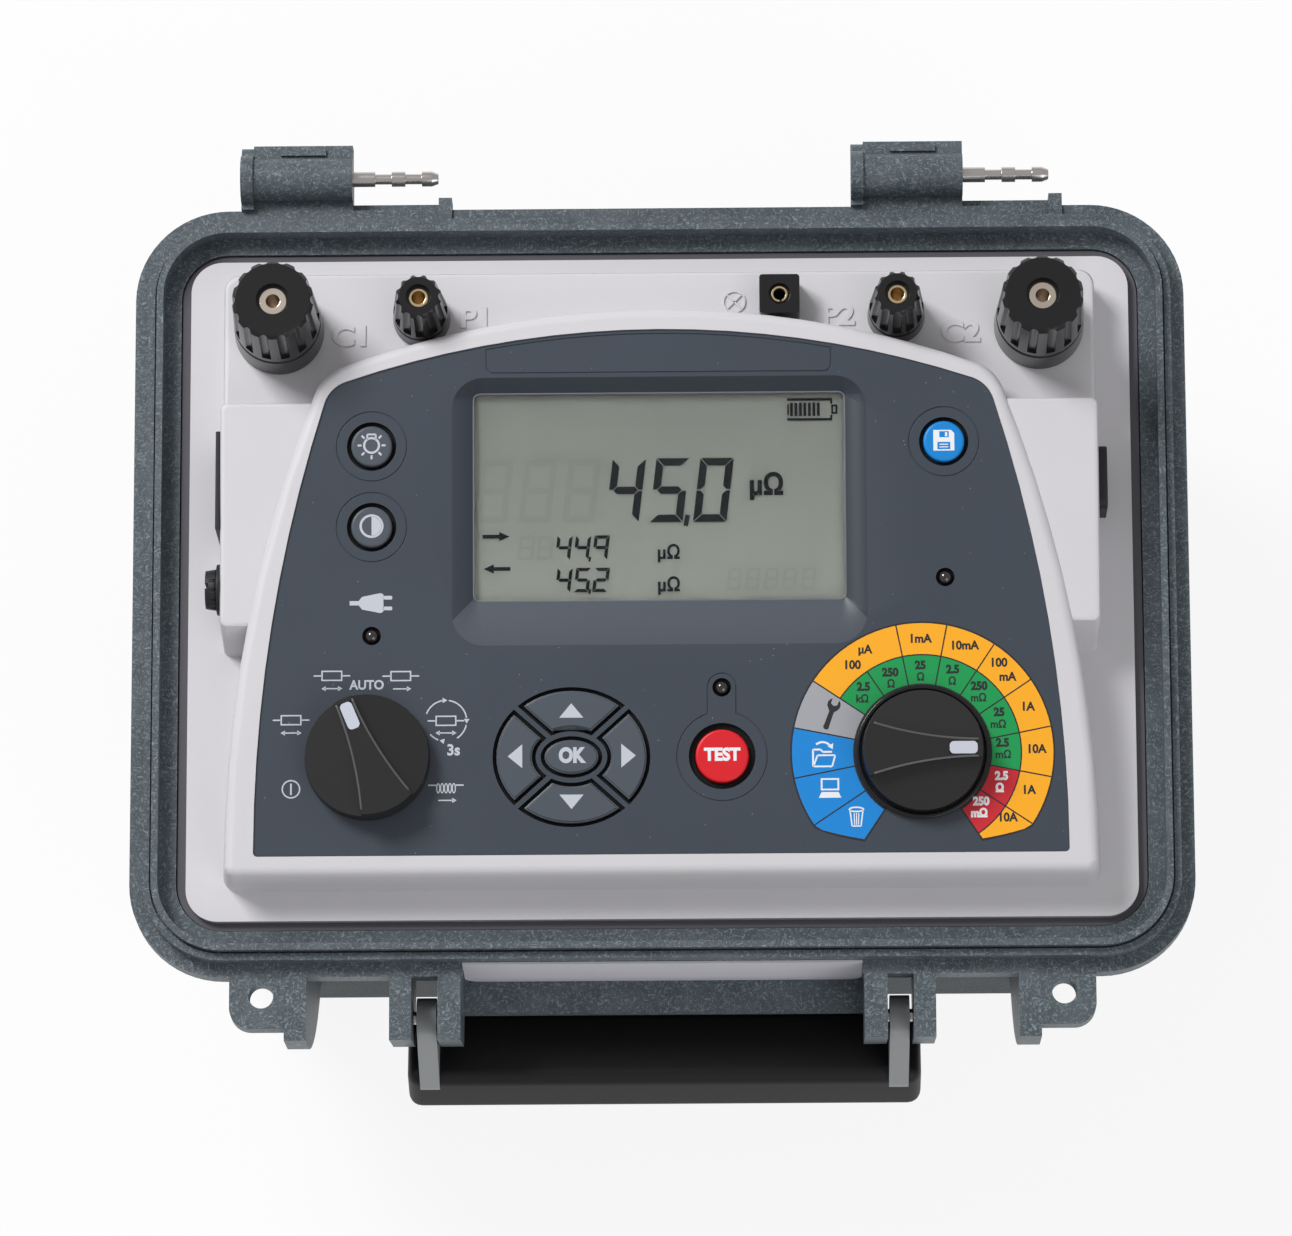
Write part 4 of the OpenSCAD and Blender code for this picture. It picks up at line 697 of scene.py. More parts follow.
def round_box(centre: Point, width: float, height: float, radius: float) -> Outline:
    """Returns the outline of a rectangle with round corners."""
    x, y = width / 2 - radius, height / 2 - radius
    corners = [(x, -y, -90), (x, y, 0), (-x, y, 90), (-x, -y, 180)]
    return [p for cx, cy, a in corners for p in arc((centre[0] + cx, centre[1] + cy), radius, a, a + 90, 4)]


@dataclass
class Word:
    """A short text of a print: its place, the height of its capitals, its weight and its width."""

    text: str
    at: Point
    capital: float
    bold: float
    width_share: float


# Height of a capital as a share of a text object's size
CAPITAL_SHARE = 0.729


class Stencil:
    """Flat shapes and words of one colour, cut as thin closed plates."""

    def __init__(self) -> None:
        """Starts empty."""
        self.shapes: list[list[Outline]] = []
        self.words: list[Word] = []

    def shape(self, outline: Outline, *holes: Outline) -> "Stencil":
        """Adds an outline with its holes."""
        self.shapes.append([outline, *holes])
        return self

    def ring(self, centre: Point, radius: float, stroke: float) -> "Stencil":
        """Adds a ring, given its middle radius and its stroke."""
        return self.shape(circle(centre, radius + stroke / 2), circle(centre, radius - stroke / 2))

    def band(self, centre: Point, radius: float, stroke: float, start: float, stop: float) -> "Stencil":
        """Adds a stretch of a ring between two angles."""
        steps = max(8, round(abs(stop - start) / 8))
        outer = arc(centre, radius + stroke / 2, start, stop, steps)
        inner = arc(centre, radius - stroke / 2, stop, start, steps)
        return self.shape(outer + inner)

    def bar(self, start: Point, end: Point, stroke: float) -> "Stencil":
        """Adds a straight stroke."""
        dx, dy = end[0] - start[0], end[1] - start[1]
        half = stroke / 2 / hypot(dx, dy)
        nx, ny = -dy * half, dx * half
        return self.shape([(start[0] + nx, start[1] + ny), (start[0] - nx, start[1] - ny),
                           (end[0] - nx, end[1] - ny), (end[0] + nx, end[1] + ny)])

    def path(self, points: Outline, stroke: float) -> "Stencil":
        """Adds straight strokes from point to point."""
        for start, end in zip(points, points[1:]):
            self.bar(start, end, stroke)
        return self

    def frame(self, centre: Point, width: float, height: float, stroke: float) -> "Stencil":
        """Adds a rectangle drawn in outline."""
        x, y = width / 2, height / 2
        box = [(-x, -y), (x, -y), (x, y), (-x, y)]
        hole = [(px - stroke if px > 0 else px + stroke, py - stroke if py > 0 else py + stroke)
                for px, py in box]
        return self.shape(shifted(box, centre), shifted(hole, centre))

    def head(self, tip: Point, turn: float, length: float, width: float) -> "Stencil":
        """Adds a filled arrow head whose tip points along an angle."""
        return self.shape(shifted([(0, 0), (-length, width / 2), (-length, -width / 2)], tip, turn))

    def arrow(self, start: Point, end: Point, stroke: float, head: float) -> "Stencil":
        """Adds an arrow with its head at the end."""
        angle = degrees(atan2(end[1] - start[1], end[0] - start[0]))
        neck = shifted([(-head * 0.8, 0)], end, angle)[0]
        return self.bar(start, neck, stroke).head(end, angle, head, head * 0.9)

    def word(self, text: str, at: Point, capital: float, bold: float, width_share: float) -> "Stencil":
        """Adds a word, centred on its place."""
        self.words.append(Word(text, at, capital, bold, width_share))
        return self

    def cut(self, plane: Plane, low: float, high: float) -> Thing:
        """Makes the plates and lays them on a plane.

        Args:
            plane: The plane that they lie on.
            low: Height of their underside above it, in mm.
            high: Height of their top above it, in mm.

        Returns:
            One mesh object, in place.
        """
        half = (high - low) / 2
        made = [self._plate(outlines, half) for outlines in self.shapes]
        made += [self._lettering(word, half) for word in self.words]
        select(*made)
        bpy.ops.object.convert(target="MESH")
        piece = select(*bpy.context.selected_objects)
        if len(made) > 1:
            bpy.ops.object.join()
        bpy.ops.object.transform_apply(location=True, rotation=True, scale=True)
        clean_mesh(piece)
        piece.data.transform(plane.matrix((low + high) / 2))
        return piece

    @staticmethod
    def _plate(outlines: list[Outline], half: float) -> Thing:
        """Makes a filled flat curve of an outline and its holes."""
        piece = poly_curve(outlines, "2D", closed=True)
        piece.data.fill_mode = "BOTH"
        piece.data.extrude = half * MM
        return piece

    @staticmethod
    def _lettering(word: Word, half: float) -> Thing:
        """Makes a text object for a word."""
        bpy.ops.object.text_add(location=(word.at[0] * MM, word.at[1] * MM, 0.0))
        piece = bpy.context.object
        piece.data.body = word.text
        piece.data.align_x = "CENTER"
        piece.data.align_y = "CENTER"
        piece.data.size = word.capital / CAPITAL_SHARE * MM
        piece.data.offset = word.bold * MM
        piece.data.extrude = half * MM
        piece.data.resolution_u = 4
        piece.scale = (word.width_share, 1.0, 1.0)
        return piece


# Sub-assemblies


@dataclass
class Casework:
    """The tub with its fittings, the feet, the pins and the bare name strip."""

    shop: Shop
    edge: float = 0.45
    # Rounding of the lugs, which meet the tub without a visible seam, and of the pins
    seam_edge: float = 0.1
    pin_edge: float = 0.12
    # Rounding of the front wall
    wall_edge: float = 1.0
    # The tub's front wall: half its width, and its section as (ahead of the middle, height)
    front_half: float = 112.0
    front_section: tuple[Point, ...] = ((-102.4, 100.0), (-98.6, 10.0), (-90.5, 10.0), (-100.5, 100.0))

    def front_wall(self) -> None:
        """Thickens the tub's front wall, which shows under the flange and in the latch bays. Its colour is the
        case's, darkened as painted shade.
        """
        section = Stencil().shape(list(self.front_section))
        side = Plane(Vector(), Vector((0, 1, 0)), Vector((0, 0, 1)), Vector((1, 0, 0)))
        piece = section.cut(side, -self.front_half, self.front_half)
        self.shop.round_edges(piece, self.wall_edge, 2)
        self.shop.shade(piece)
        self.shop.place(piece, "tub_front_wall", "root", CASE_PAINTED_SHADE)

    def build(self) -> None:
        """Dresses the case and all that is fixed to it."""
        self.front_wall()
        self.shop.soften("case_shell", CASE, self.edge)
        self.shop.soften("case_feet", FEET, 0.5)
        for side in ("left", "right"):
            self.shop.soften(f"padlock_lug_{side}", CASE, self.seam_edge)
            for pin in ("hinge_pin", "handle_pin"):
                self.shop.soften(f"{pin}_{side}", PIN_STEEL, self.pin_edge)
        self.shop.soften("name_strip", STRIP, 0.1)
        self.shop.leave("panel_gasket", GASKET)


@dataclass
class Handle:
    """The swinging handle: its grey frame and the soft grip."""

    shop: Shop
    arm_edge: float = 0.5
    # The hanging handle's angle off plumb, and the grip's middle below the pivot
    lean: float = 18.0
    grip_arm: float = 32.0
    # The grip's front and back faces from that middle, its height and its rounding
    grip_front: float = -8.9
    grip_back: float = 15.3
    grip_height: float = 19.0
    grip_round: float = 4.0
    # Heights on the arms: where the tongues start to shrink, and their old and their new end
    tongue_from: float = -21.0
    tongue_tip: float = -36.75
    tongue_end: float = -27.5
    # The tongues' front face in the model, and how far it moves out of the grip
    tongue_face: float = -6.0
    proud: float = 0.9

    def hang(self) -> Matrix:
        """Returns the transform from the hanging handle's own axes to the model."""
        pivot = Vector(self.shop.joint("handle_swing")["pos_m"])
        pivot.x = 0.0
        return Matrix.Translation(pivot) @ Matrix.Rotation(radians(-self.lean), 4, "X")

    def build(self) -> None:
        """Dresses the frame and makes the grip."""
        self.end_tongues(self.shop.soften("handle_frame", ARM, self.arm_edge))
        self.grip()

    def end_tongues(self, arms: Thing) -> None:
        """Ends the arms' tongues higher on the grip and lets them stand proud of it.

        Args:
            arms: The dressed frame of the handle.
        """
        hang = self.hang()
        back = hang.inverted()
        start = self.tongue_from
        share = (self.tongue_end - start) / (self.tongue_tip - start)
        for vertex in arms.data.vertices:
            spot = back @ vertex.co
            if spot.z / MM < start:
                if spot.y / MM < self.tongue_face:
                    spot.y -= self.proud * MM
                spot.z = (start + (spot.z / MM - start) * share) * MM
                vertex.co = hang @ spot

    def grip(self) -> None:
        """Makes the soft grip, a rounded bar that holds the frame's bar."""
        low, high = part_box("handle_grip")
        bpy.ops.mesh.primitive_cube_add(size=MM)
        piece = bpy.context.object
        piece.scale = ((high.x - low.x) / MM, self.grip_back - self.grip_front, self.grip_height)
        bpy.ops.object.transform_apply(location=True, rotation=True, scale=True)
        self.shop.round_edges(piece, self.grip_round, 5)
        self.shop.shade(piece)
        across, deep = (low.x + high.x) / 2, (self.grip_front + self.grip_back) / 2 * MM
        middle = Vector((across, deep, -self.grip_arm * MM))
        piece.data.transform(self.hang() @ Matrix.Translation(middle))
        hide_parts("handle_grip")
        self.shop.place(piece, "handle_grip_dressed", self.shop.body_of("handle_grip"), GRIP)


@dataclass
class PanelMoulding:
    """The pale panel with its raised letters, and the film on the console."""

    shop: Shop
    deck: Plane
    console: Plane
    edge: float = 0.5
    # Raised letters: their height off the deck, the height of their capitals and their width
    letter_rise: float = 0.5
    letter_capital: float = 6.3
    letter_width: float = 1.12
    # Heights from the bezel between which the faces of the wells' floors and walls lie; these faces get painted shade
    well_top: float = -1.25
    well_floor: float = -2.6
    # Half width of the display's surround, and its front and back edges
    dish_x: float = 61.3
    dish_front: float = -23.4
    dish_back: float = 57.5
    # Heights between which the surround's walls lie, a wall's least lean, and how far it faces up at least; walls
    # leaning to the back get a painted highlight, the others painted shade
    dish_low: float = -8.0
    dish_high: float = -0.65
    least_lean: float = 0.05
    least_facing: float = 0.3
    # Name of each terminal, and where its letters stand on the deck
    letters: dict[str, Point] = field(default_factory=lambda: {
        "C1": (-91.8, 74.0), "P1": (-54.7, 79.4), "P2": (53.6, 79.4), "C2": (90.0, 74.0)})
    lamp_sign: Point = (22.5, 84.0)

    def build(self) -> None:
        """Dresses the panel and raises its letters."""
        self.shop.soften("front_panel", PANEL, self.edge)
        self.paint_light_and_shade_on_film(self.shop.soften("overlay", OVERLAY, 0.12, angle=40.0))
        raised = Stencil()
        for text, at in self.letters.items():
            raised.word(text, at, self.letter_capital, 0.3, self.letter_width)
        raised.ring(self.lamp_sign, 3.2, 0.5)
        for turn in (45, 135):
            raised.bar(*arc(self.lamp_sign, 3.1, turn, turn + 180, 1), 0.5)
        piece = raised.cut(self.deck, -0.05, self.letter_rise)
        self.shop.round_edges(piece, 0.12, 1, 60.0)
        self.shop.place(piece, "raised_letters", "root", PANEL)

    def paint_light_and_shade_on_film(self, film: Thing) -> None:
        """Paints shade into the wells that the keys and lamps stand in, and a painted highlight and painted shade
        onto the walls of the display's surround.

        Args:
            film: The dressed film of the console.
        """
        for finish in (WELL_PAINTED_SHADE, DISH_PAINTED_HIGHLIGHT, DISH_PAINTED_SHADE):
            film.data.materials.append(finish.material(self.shop.effects))
        for face in film.data.polygons:
            height = (face.center - self.console.origin).dot(self.console.normal) / MM
            x, y = self.console.local(face.center)
            if not (abs(x) < self.dish_x and self.dish_front < y < self.dish_back):
                # Painted shade on the wells' floors and walls
                if self.well_floor < height < self.well_top:
                    face.material_index = 1
                continue
            facing = face.normal.dot(self.console.normal)
            # Painted highlight on the surround's walls that lean to the back, painted shade on its side and back
            # walls
            if self.dish_low < height < self.dish_high and facing > self.least_facing:
                lean, aside = face.normal.dot(self.console.up), abs(face.normal.dot(self.console.right))
                if lean > self.least_lean:
                    face.material_index = 2
                elif aside > self.least_lean or lean < -self.least_lean:
                    face.material_index = 3


# Numbers on the display: text, place of the first digit, width, height, pitch and stroke of the digits
Row = tuple[str, Point, float, float, float, float]
IDLE_NUMBERS: tuple[Row, ...] = (
    ("888", (-49.0, 2.2), 9.6, 19.0, 13.0, 1.9), ("88", (-39.4, -14.9), 4.6, 7.1, 5.5, 0.8),
    ("88888", (22.0, -24.6), 4.0, 6.6, 5.5, 0.8))
SHOWN_NUMBERS: tuple[Row, ...] = (
    ("45,0", (-10.0, 2.2), 9.9, 19.2, 13.0, 2.25), ("44,9", (-28.4, -14.9), 4.5, 7.3, 5.5, 1.0),
    ("45,2", (-28.4, -24.6), 4.5, 7.3, 5.5, 1.0))


@dataclass
class Display:
    """The window and the display behind it, with its digits."""

    shop: Shop
    plane: Plane
    glass_top: float
    # Lean of the digits in degrees, and the gap between segments as a share of the stroke
    slant: float = 7.0
    gap_share: float = 0.09
    # Half width, half depth and corner radius of the clear field
    clear_x: float = 55.0
    clear_y: float = 31.15
    clear_r: float = 1.9
    # Heights of the layers above the display's face: idle digits, shown digits, pane and rim
    idle_span: Point = (0.20, 0.22)
    shown_span: Point = (0.30, 0.34)
    pane_span: Point = (0.45, 1.6)
    rim_span: Point = (1.62, 2.6)
    pane_depth: float = 69.3
    # Segments a to g of each figure
    lit: dict[str, str] = field(default_factory=lambda: {
        "0": "abcdef", "2": "abdeg", "4": "bcfg", "5": "acdfg", "8": "abcdefg", "9": "abcfg"})

    def segment(self, letter: str, width: float, height: float, stroke: float) -> Outline:
        """Returns the outline of one segment of an upright digit round its own middle.

        Args:
            letter: The segment's letter, a to g.
            width: The digit's width.
            height: The digit's height.
            stroke: The stroke's width.

        Returns:
            A bar with mitred ends, a thin gap short of its neighbours.
        """
        x, y, gap = width / 2, height / 2, stroke * self.gap_share
        top = [(gap - x, y), (x - gap, y), (x - stroke - gap, y - stroke), (stroke + gap - x, y - stroke)]
        side = [(x, y - gap), (x - stroke, y - stroke - gap), (x - stroke, stroke / 2 + gap),
                (x - stroke / 2, gap), (x, gap)]
        middle = [(stroke / 2 + gap - x, 0.0), (stroke + gap - x, stroke / 2), (x - stroke - gap, stroke / 2),
                  (x - stroke / 2 - gap, 0.0), (x - stroke - gap, -stroke / 2), (stroke + gap - x, -stroke / 2)]
        shapes = {"a": (top, 1, 1), "d": (top, 1, -1), "b": (side, 1, 1), "c": (side, 1, -1),
                  "f": (side, -1, 1), "e": (side, -1, -1), "g": (middle, 1, 1)}
        points, across, along = shapes[letter]
        return [(px * across, py * along) for px, py in points]

    def figure(self, stencil: Stencil, text: str, at: Point, width: float, height: float, stroke: float) -> None:
        """Adds one digit to a stencil, leaning to the right."""
        lean = sin(radians(self.slant))
        for letter in self.lit[text]:
            outline = self.segment(letter, width, height, stroke)
            stencil.shape([(at[0] + x + y * lean, at[1] + y) for x, y in outline])

    def number(self, stencil: Stencil, row: Row) -> None:
        """Adds a row of digits with its comma."""
        text, at, width, height, pitch, stroke = row
        place = 0
        for letter in text:
            if letter == ",":
                foot = (at[0] + (place - 0.5) * pitch - height * 0.07, at[1] - height / 2)
                stencil.bar((foot[0] + stroke * 0.1, foot[1] + stroke * 0.95),
                            (foot[0] - stroke * 0.2, foot[1] - stroke * 0.55), stroke * 0.6)
            else:
                self.figure(stencil, letter, (at[0] + place * pitch, at[1]), width, height, stroke)
                place += 1

    def cut(self, stencil: Stencil, span: Point) -> Thing:
        """Cuts a stencil at a span of heights above the display's face."""
        return stencil.cut(self.plane, self.glass_top + span[0], self.glass_top + span[1])

    def build(self) -> None:
        """Dresses the display, lays its digits and closes it with the window."""
        self.shop.soften("display_module", GLASS_FACE, 0.2)
        idle = Stencil()
        for row in IDLE_NUMBERS:
            self.number(idle, row)
        self.shop.place(self.cut(idle, self.idle_span), "display_idle_digits", "root", GHOST)
        shown = Stencil()
        for row in SHOWN_NUMBERS:
            self.number(shown, row)
        for at, capital, bold in (((31.6, 3.4), 6.3, 0.32), ((2.6, -16.6), 4.2, 0.16), ((2.6, -26.3), 4.2, 0.16)):
            shown.word("µΩ", at, capital, bold, 0.92)
        shown.arrow((-52.4, -11.4), (-44.4, -11.4), 1.15, 3.1)
        shown.arrow((-44.2, -21.1), (-52.2, -21.1), 1.15, 3.1)
        self.battery(shown, (45.0, 26.2))
        self.shop.place(self.cut(shown, self.shown_span), "display_digits", "root", SEGMENTS)
        self.pane()
        self.rim()

    @staticmethod
    def battery(stencil: Stencil, at: Point) -> None:
        """Adds the battery sign: two rails, seven bars and the tip."""
        x, y = at
        for rise in (-3.0, 3.0):
            stencil.bar((x - 7.0, y + rise), (x + 6.4, y + rise), 0.75)
        stencil.bar((x - 6.7, y - 1.6), (x - 6.7, y + 1.6), 0.5)
        for side in (-1, 1):
            stencil.bar((x + 6.1, y + side * 1.7), (x + 6.1, y + side * 3.0), 0.6)
        for i in range(7):
            across = x - 5.7 + i * 1.33
            stencil.bar((across, y - 2.0), (across, y + 2.0), 0.85)
        stencil.frame((x + 7.0, y), 1.8, 2.8, 0.55)

    def rim(self) -> None:
        """Lays the thin moulded rim round the clear field, pale as a painted highlight."""
        outer, inner = (round_box((0.0, 0.0), 2 * (self.clear_x + grow), 2 * (self.clear_y + grow),
                                  self.clear_r + grow) for grow in (0.25, -0.25))
        piece = self.cut(Stencil().shape(outer, inner), self.rim_span)
        self.shop.round_edges(piece, 0.22, 2)
        self.shop.place(piece, "window_rim", "root", RIM_PAINTED_HIGHLIGHT)

    def pane(self) -> None:
        """Makes the clear window, which stands just off the display."""
        low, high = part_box("display_window")
        outline = round_box((0.0, 0.0), (high.x - low.x) / MM, self.pane_depth, 1.0)
        piece = self.cut(Stencil().shape(outline), self.pane_span)
        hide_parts("display_window")
        self.shop.place(piece, "window_pane", "root", WINDOW)


@dataclass
class RangeDial:
    """The coloured dial printed round the range knob."""

    shop: Shop
    plane: Plane
    centre: Point
    inner: float = 20.2
    middle: float = 29.0
    outer: float = 38.6
    line: float = 0.42
    # Sectors of equal angle, counted clockwise from the lower left
    sector: float = 22.5
    start: float = -146.25
    # The circle that flattens the bottom of the dial: its centre above the dial's, and its radius
    bottom_rise: float = 73.1
    bottom_radius: float = 100.5
    # Height of the film from the bezel, and the prints' spans from it: the lines, the colours and the lettering
    film: float = -0.6
    line_span: Point = (-0.02, 0.02)
    colour_span: Point = (-0.01, 0.05)
    letter_span: Point = (0.03, 0.08)

    def reach(self, angle: float, radius: float) -> float:
        """Returns a radius cut short by the flattened bottom, at an angle clockwise from the top."""
        c = self.bottom_rise * cos(radians(angle))
        limit = c + sqrt(c * c - self.bottom_rise ** 2 + self.bottom_radius ** 2)
        return min(radius, limit)

    def place(self, angle: float, radius: float) -> Point:
        """Returns a point of the dial at an angle clockwise from the top."""
        return self.centre[0] + radius * sin(radians(angle)), self.centre[1] + radius * cos(radians(angle))

    def field_outline(self, first: int, last: int, inner: float, outer: float, gap: float) -> Outline:
        """Returns the outline of one field of the dial.

        Args:
            first: The number of its first sector.
            last: The number after its last sector.
            inner: Its inner radius.
            outer: Its outer radius.
            gap: Half the line between fields; below zero, the field grows.

        Returns:
            The outline.
        """
        a, b = self.start + first * self.sector, self.start + last * self.sector
        steps = max(6, 4 * (last - first) + 2)
        far, near = [], []
        for i in range(steps + 1):
            angle = a + (b - a) * i / steps
            r_far = self.reach(angle, outer) - gap
            r_near = inner + gap
            for points, radius in ((far, r_far), (near, r_near)):
                slip = degrees(asin(gap / radius)) * (1 - 2 * i / steps)
                points.append(self.place(angle + slip, radius))
        return far + near[::-1]

    def lay(self, stencil: Stencil, span: Point, name: str, finish: Finish) -> None:
        """Prints a stencil at a span of heights from the film."""
        self.shop.lay(stencil, self.plane, (self.film + span[0], self.film + span[1]), name, finish)

    def fields(self, name: str, finish: Finish, rows: Iterable[tuple[int, int]], inner: float, outer: float) -> None:
        """Prints the fields of one colour, given their first sector and the one after their last."""
        stencil = Stencil()
        for first, last in rows:
            stencil.shape(self.field_outline(first, last, inner, outer, self.line / 2))
        self.lay(stencil, self.colour_span, name, finish)

    def at(self, x: float, y: float) -> Point:
        """Returns a place given from the dial's centre."""
        return self.centre[0] + x, self.centre[1] + y

    def build(self) -> None:
        """Prints the dial from the ground up."""
        ground = self.field_outline(0, 13, self.inner - 0.1, self.outer, -self.line * 0.8)
        self.lay(Stencil().shape(ground), self.line_span, "dial_ground", LINE_INK)
        single = [(i, i + 1) for i in range(13)]
        self.fields("dial_blue", BLUE_INK, single[:3], self.inner, self.outer)
        self.fields("dial_grey", GREY_INK, single[3:4], self.inner, self.outer)
        self.fields("dial_green", GREEN_INK, single[4:11], self.inner, self.middle)
        self.fields("dial_red", RED_INK, single[11:], self.inner, self.middle)
        self.fields("dial_yellow", YELLOW_INK, [(4, 6), *single[6:]], self.middle, self.outer)
        self.letter()
        self.signs()

    def letter(self) -> None:
        """Prints the numbers and units."""
        dark = Stencil()
        currents = [("µA", -16.7, 30.6), ("100", -20.5, 26.0), ("1mA", -0.4, 33.7), ("10mA", 12.6, 31.6),
                    ("100", 22.6, 26.4), ("mA", 25.2, 22.2), ("1A", 31.0, 13.3), ("10A", 33.4, 0.7),
                    ("1A", 31.0, -11.4), ("10A", 24.7, -19.5)]
        ranges = [("2.5", -17.2, 19.5), ("250", -9.3, 23.7), ("25", -0.4, 25.8), ("2.5", 9.1, 24.5),
                  ("250", 16.8, 19.5), ("25", 22.6, 11.7), ("2.5", 23.5, 2.6)]
        units = [("kΩ", -17.6, 15.9), ("Ω", -9.1, 20.3), ("Ω", -0.4, 22.3), ("Ω", 8.9, 21.0),
                 ("mΩ", 16.6, 16.0), ("mΩ", 22.3, 8.1), ("mΩ", 23.7, -0.9)]
        on_red = [("2.5", 23.1, -7.2), ("Ω", 22.5, -10.8), ("250", 17.0, -14.7), ("mΩ", 16.4, -18.2)]
        self.words(dark, currents, 2.6, 0.13, 0.96)
        self.words(dark, ranges, 2.45, 0.19, 0.94)
        self.words(dark, units, 2.35, 0.10, 0.94)
        self.wrench(dark, self.at(-27.0, 11.3))
        self.lay(dark, self.letter_span, "dial_dark_print", DARK_INK)
        white = Stencil()
        self.words(white, on_red, 2.45, 0.20, 0.94)
        self.lay(white, self.letter_span, "dial_white_print", WHITE_INK)

    def words(self, stencil: Stencil, rows: Iterable[tuple[str, float, float]], *style: float) -> None:
        """Adds words of one height, weight and width, each with its place from the dial's centre."""
        for text, x, y in rows:
            stencil.word(text, self.at(x, y), *style)

    @staticmethod
    def wrench(stencil: Stencil, at: Point) -> None:
        """Adds the wrench that stands for the settings, leaning to the right."""
        half = [(0.0, -4.6), (0.55, -4.45), (0.85, -4.0), (0.75, -2.6), (0.7, 1.0), (1.25, 1.6), (1.85, 2.5),
                (1.95, 3.4), (1.6, 4.3), (1.05, 4.8), (0.95, 3.3), (0.0, 2.75)]
        outline = half + [(-x, y) for x, y in half[-2:0:-1]]
        stencil.shape(shifted(outline, at, -20.0))

    @staticmethod
    def folder(stencil: Stencil, x: float, y: float) -> None:
        """Adds an open folder with an arrow over it."""
        back = [(-3.2, -3.6), (-3.2, 1.4), (-0.9, 1.4), (-0.4, 0.7), (2.4, 0.7)]
        flap = [(-3.1, -3.6), (2.4, -3.6), (3.3, -0.3), (-1.9, -0.3), (-3.1, -3.6)]
        stencil.path(shifted(back, (x, y)), 0.55)
        stencil.path(shifted(flap, (x, y)), 0.5)
        stencil.band((x - 0.4, y + 0.7), 2.9, 0.6, 130, 40).head((x + 2.6, y + 1.5), -62, 1.5, 1.9)

    @staticmethod
    def computer(stencil: Stencil, x: float, y: float) -> None:
        """Adds a screen on its keyboard."""
        stencil.frame((x, y + 1.3), 5.4, 3.6, 0.5)
        stencil.shape([(x - 3.3, y - 2.7), (x + 3.3, y - 2.7), (x + 2.5, y - 1.0), (x - 2.5, y - 1.0)])

    @staticmethod
    def bin(stencil: Stencil, x: float, y: float) -> None:
        """Adds a ribbed bin with its rim."""
        stencil.path([(x - 1.9, y + 2.1), (x - 1.3, y - 2.6), (x + 1.3, y - 2.6), (x + 1.9, y + 2.1)], 0.4)
        stencil.shape(oval((x, y + 2.3), 2.3, 0.85, 15), oval((x, y + 2.3), 1.8, 0.4, 15))
        for side in (-0.7, 0.0, 0.7):
            stencil.bar((x + side, y + 1.2), (x + side * 0.8, y - 2.2), 0.3)

    def signs(self) -> None:
        """Prints the three white signs: a folder, a computer and a bin."""
        white = Stencil()
        self.folder(white, *self.at(-29.0, -0.4))
        self.computer(white, *self.at(-27.3, -10.6))
        self.bin(white, *self.at(-19.6, -19.1))
        self.lay(white, self.letter_span, "dial_signs", WHITE_INK)


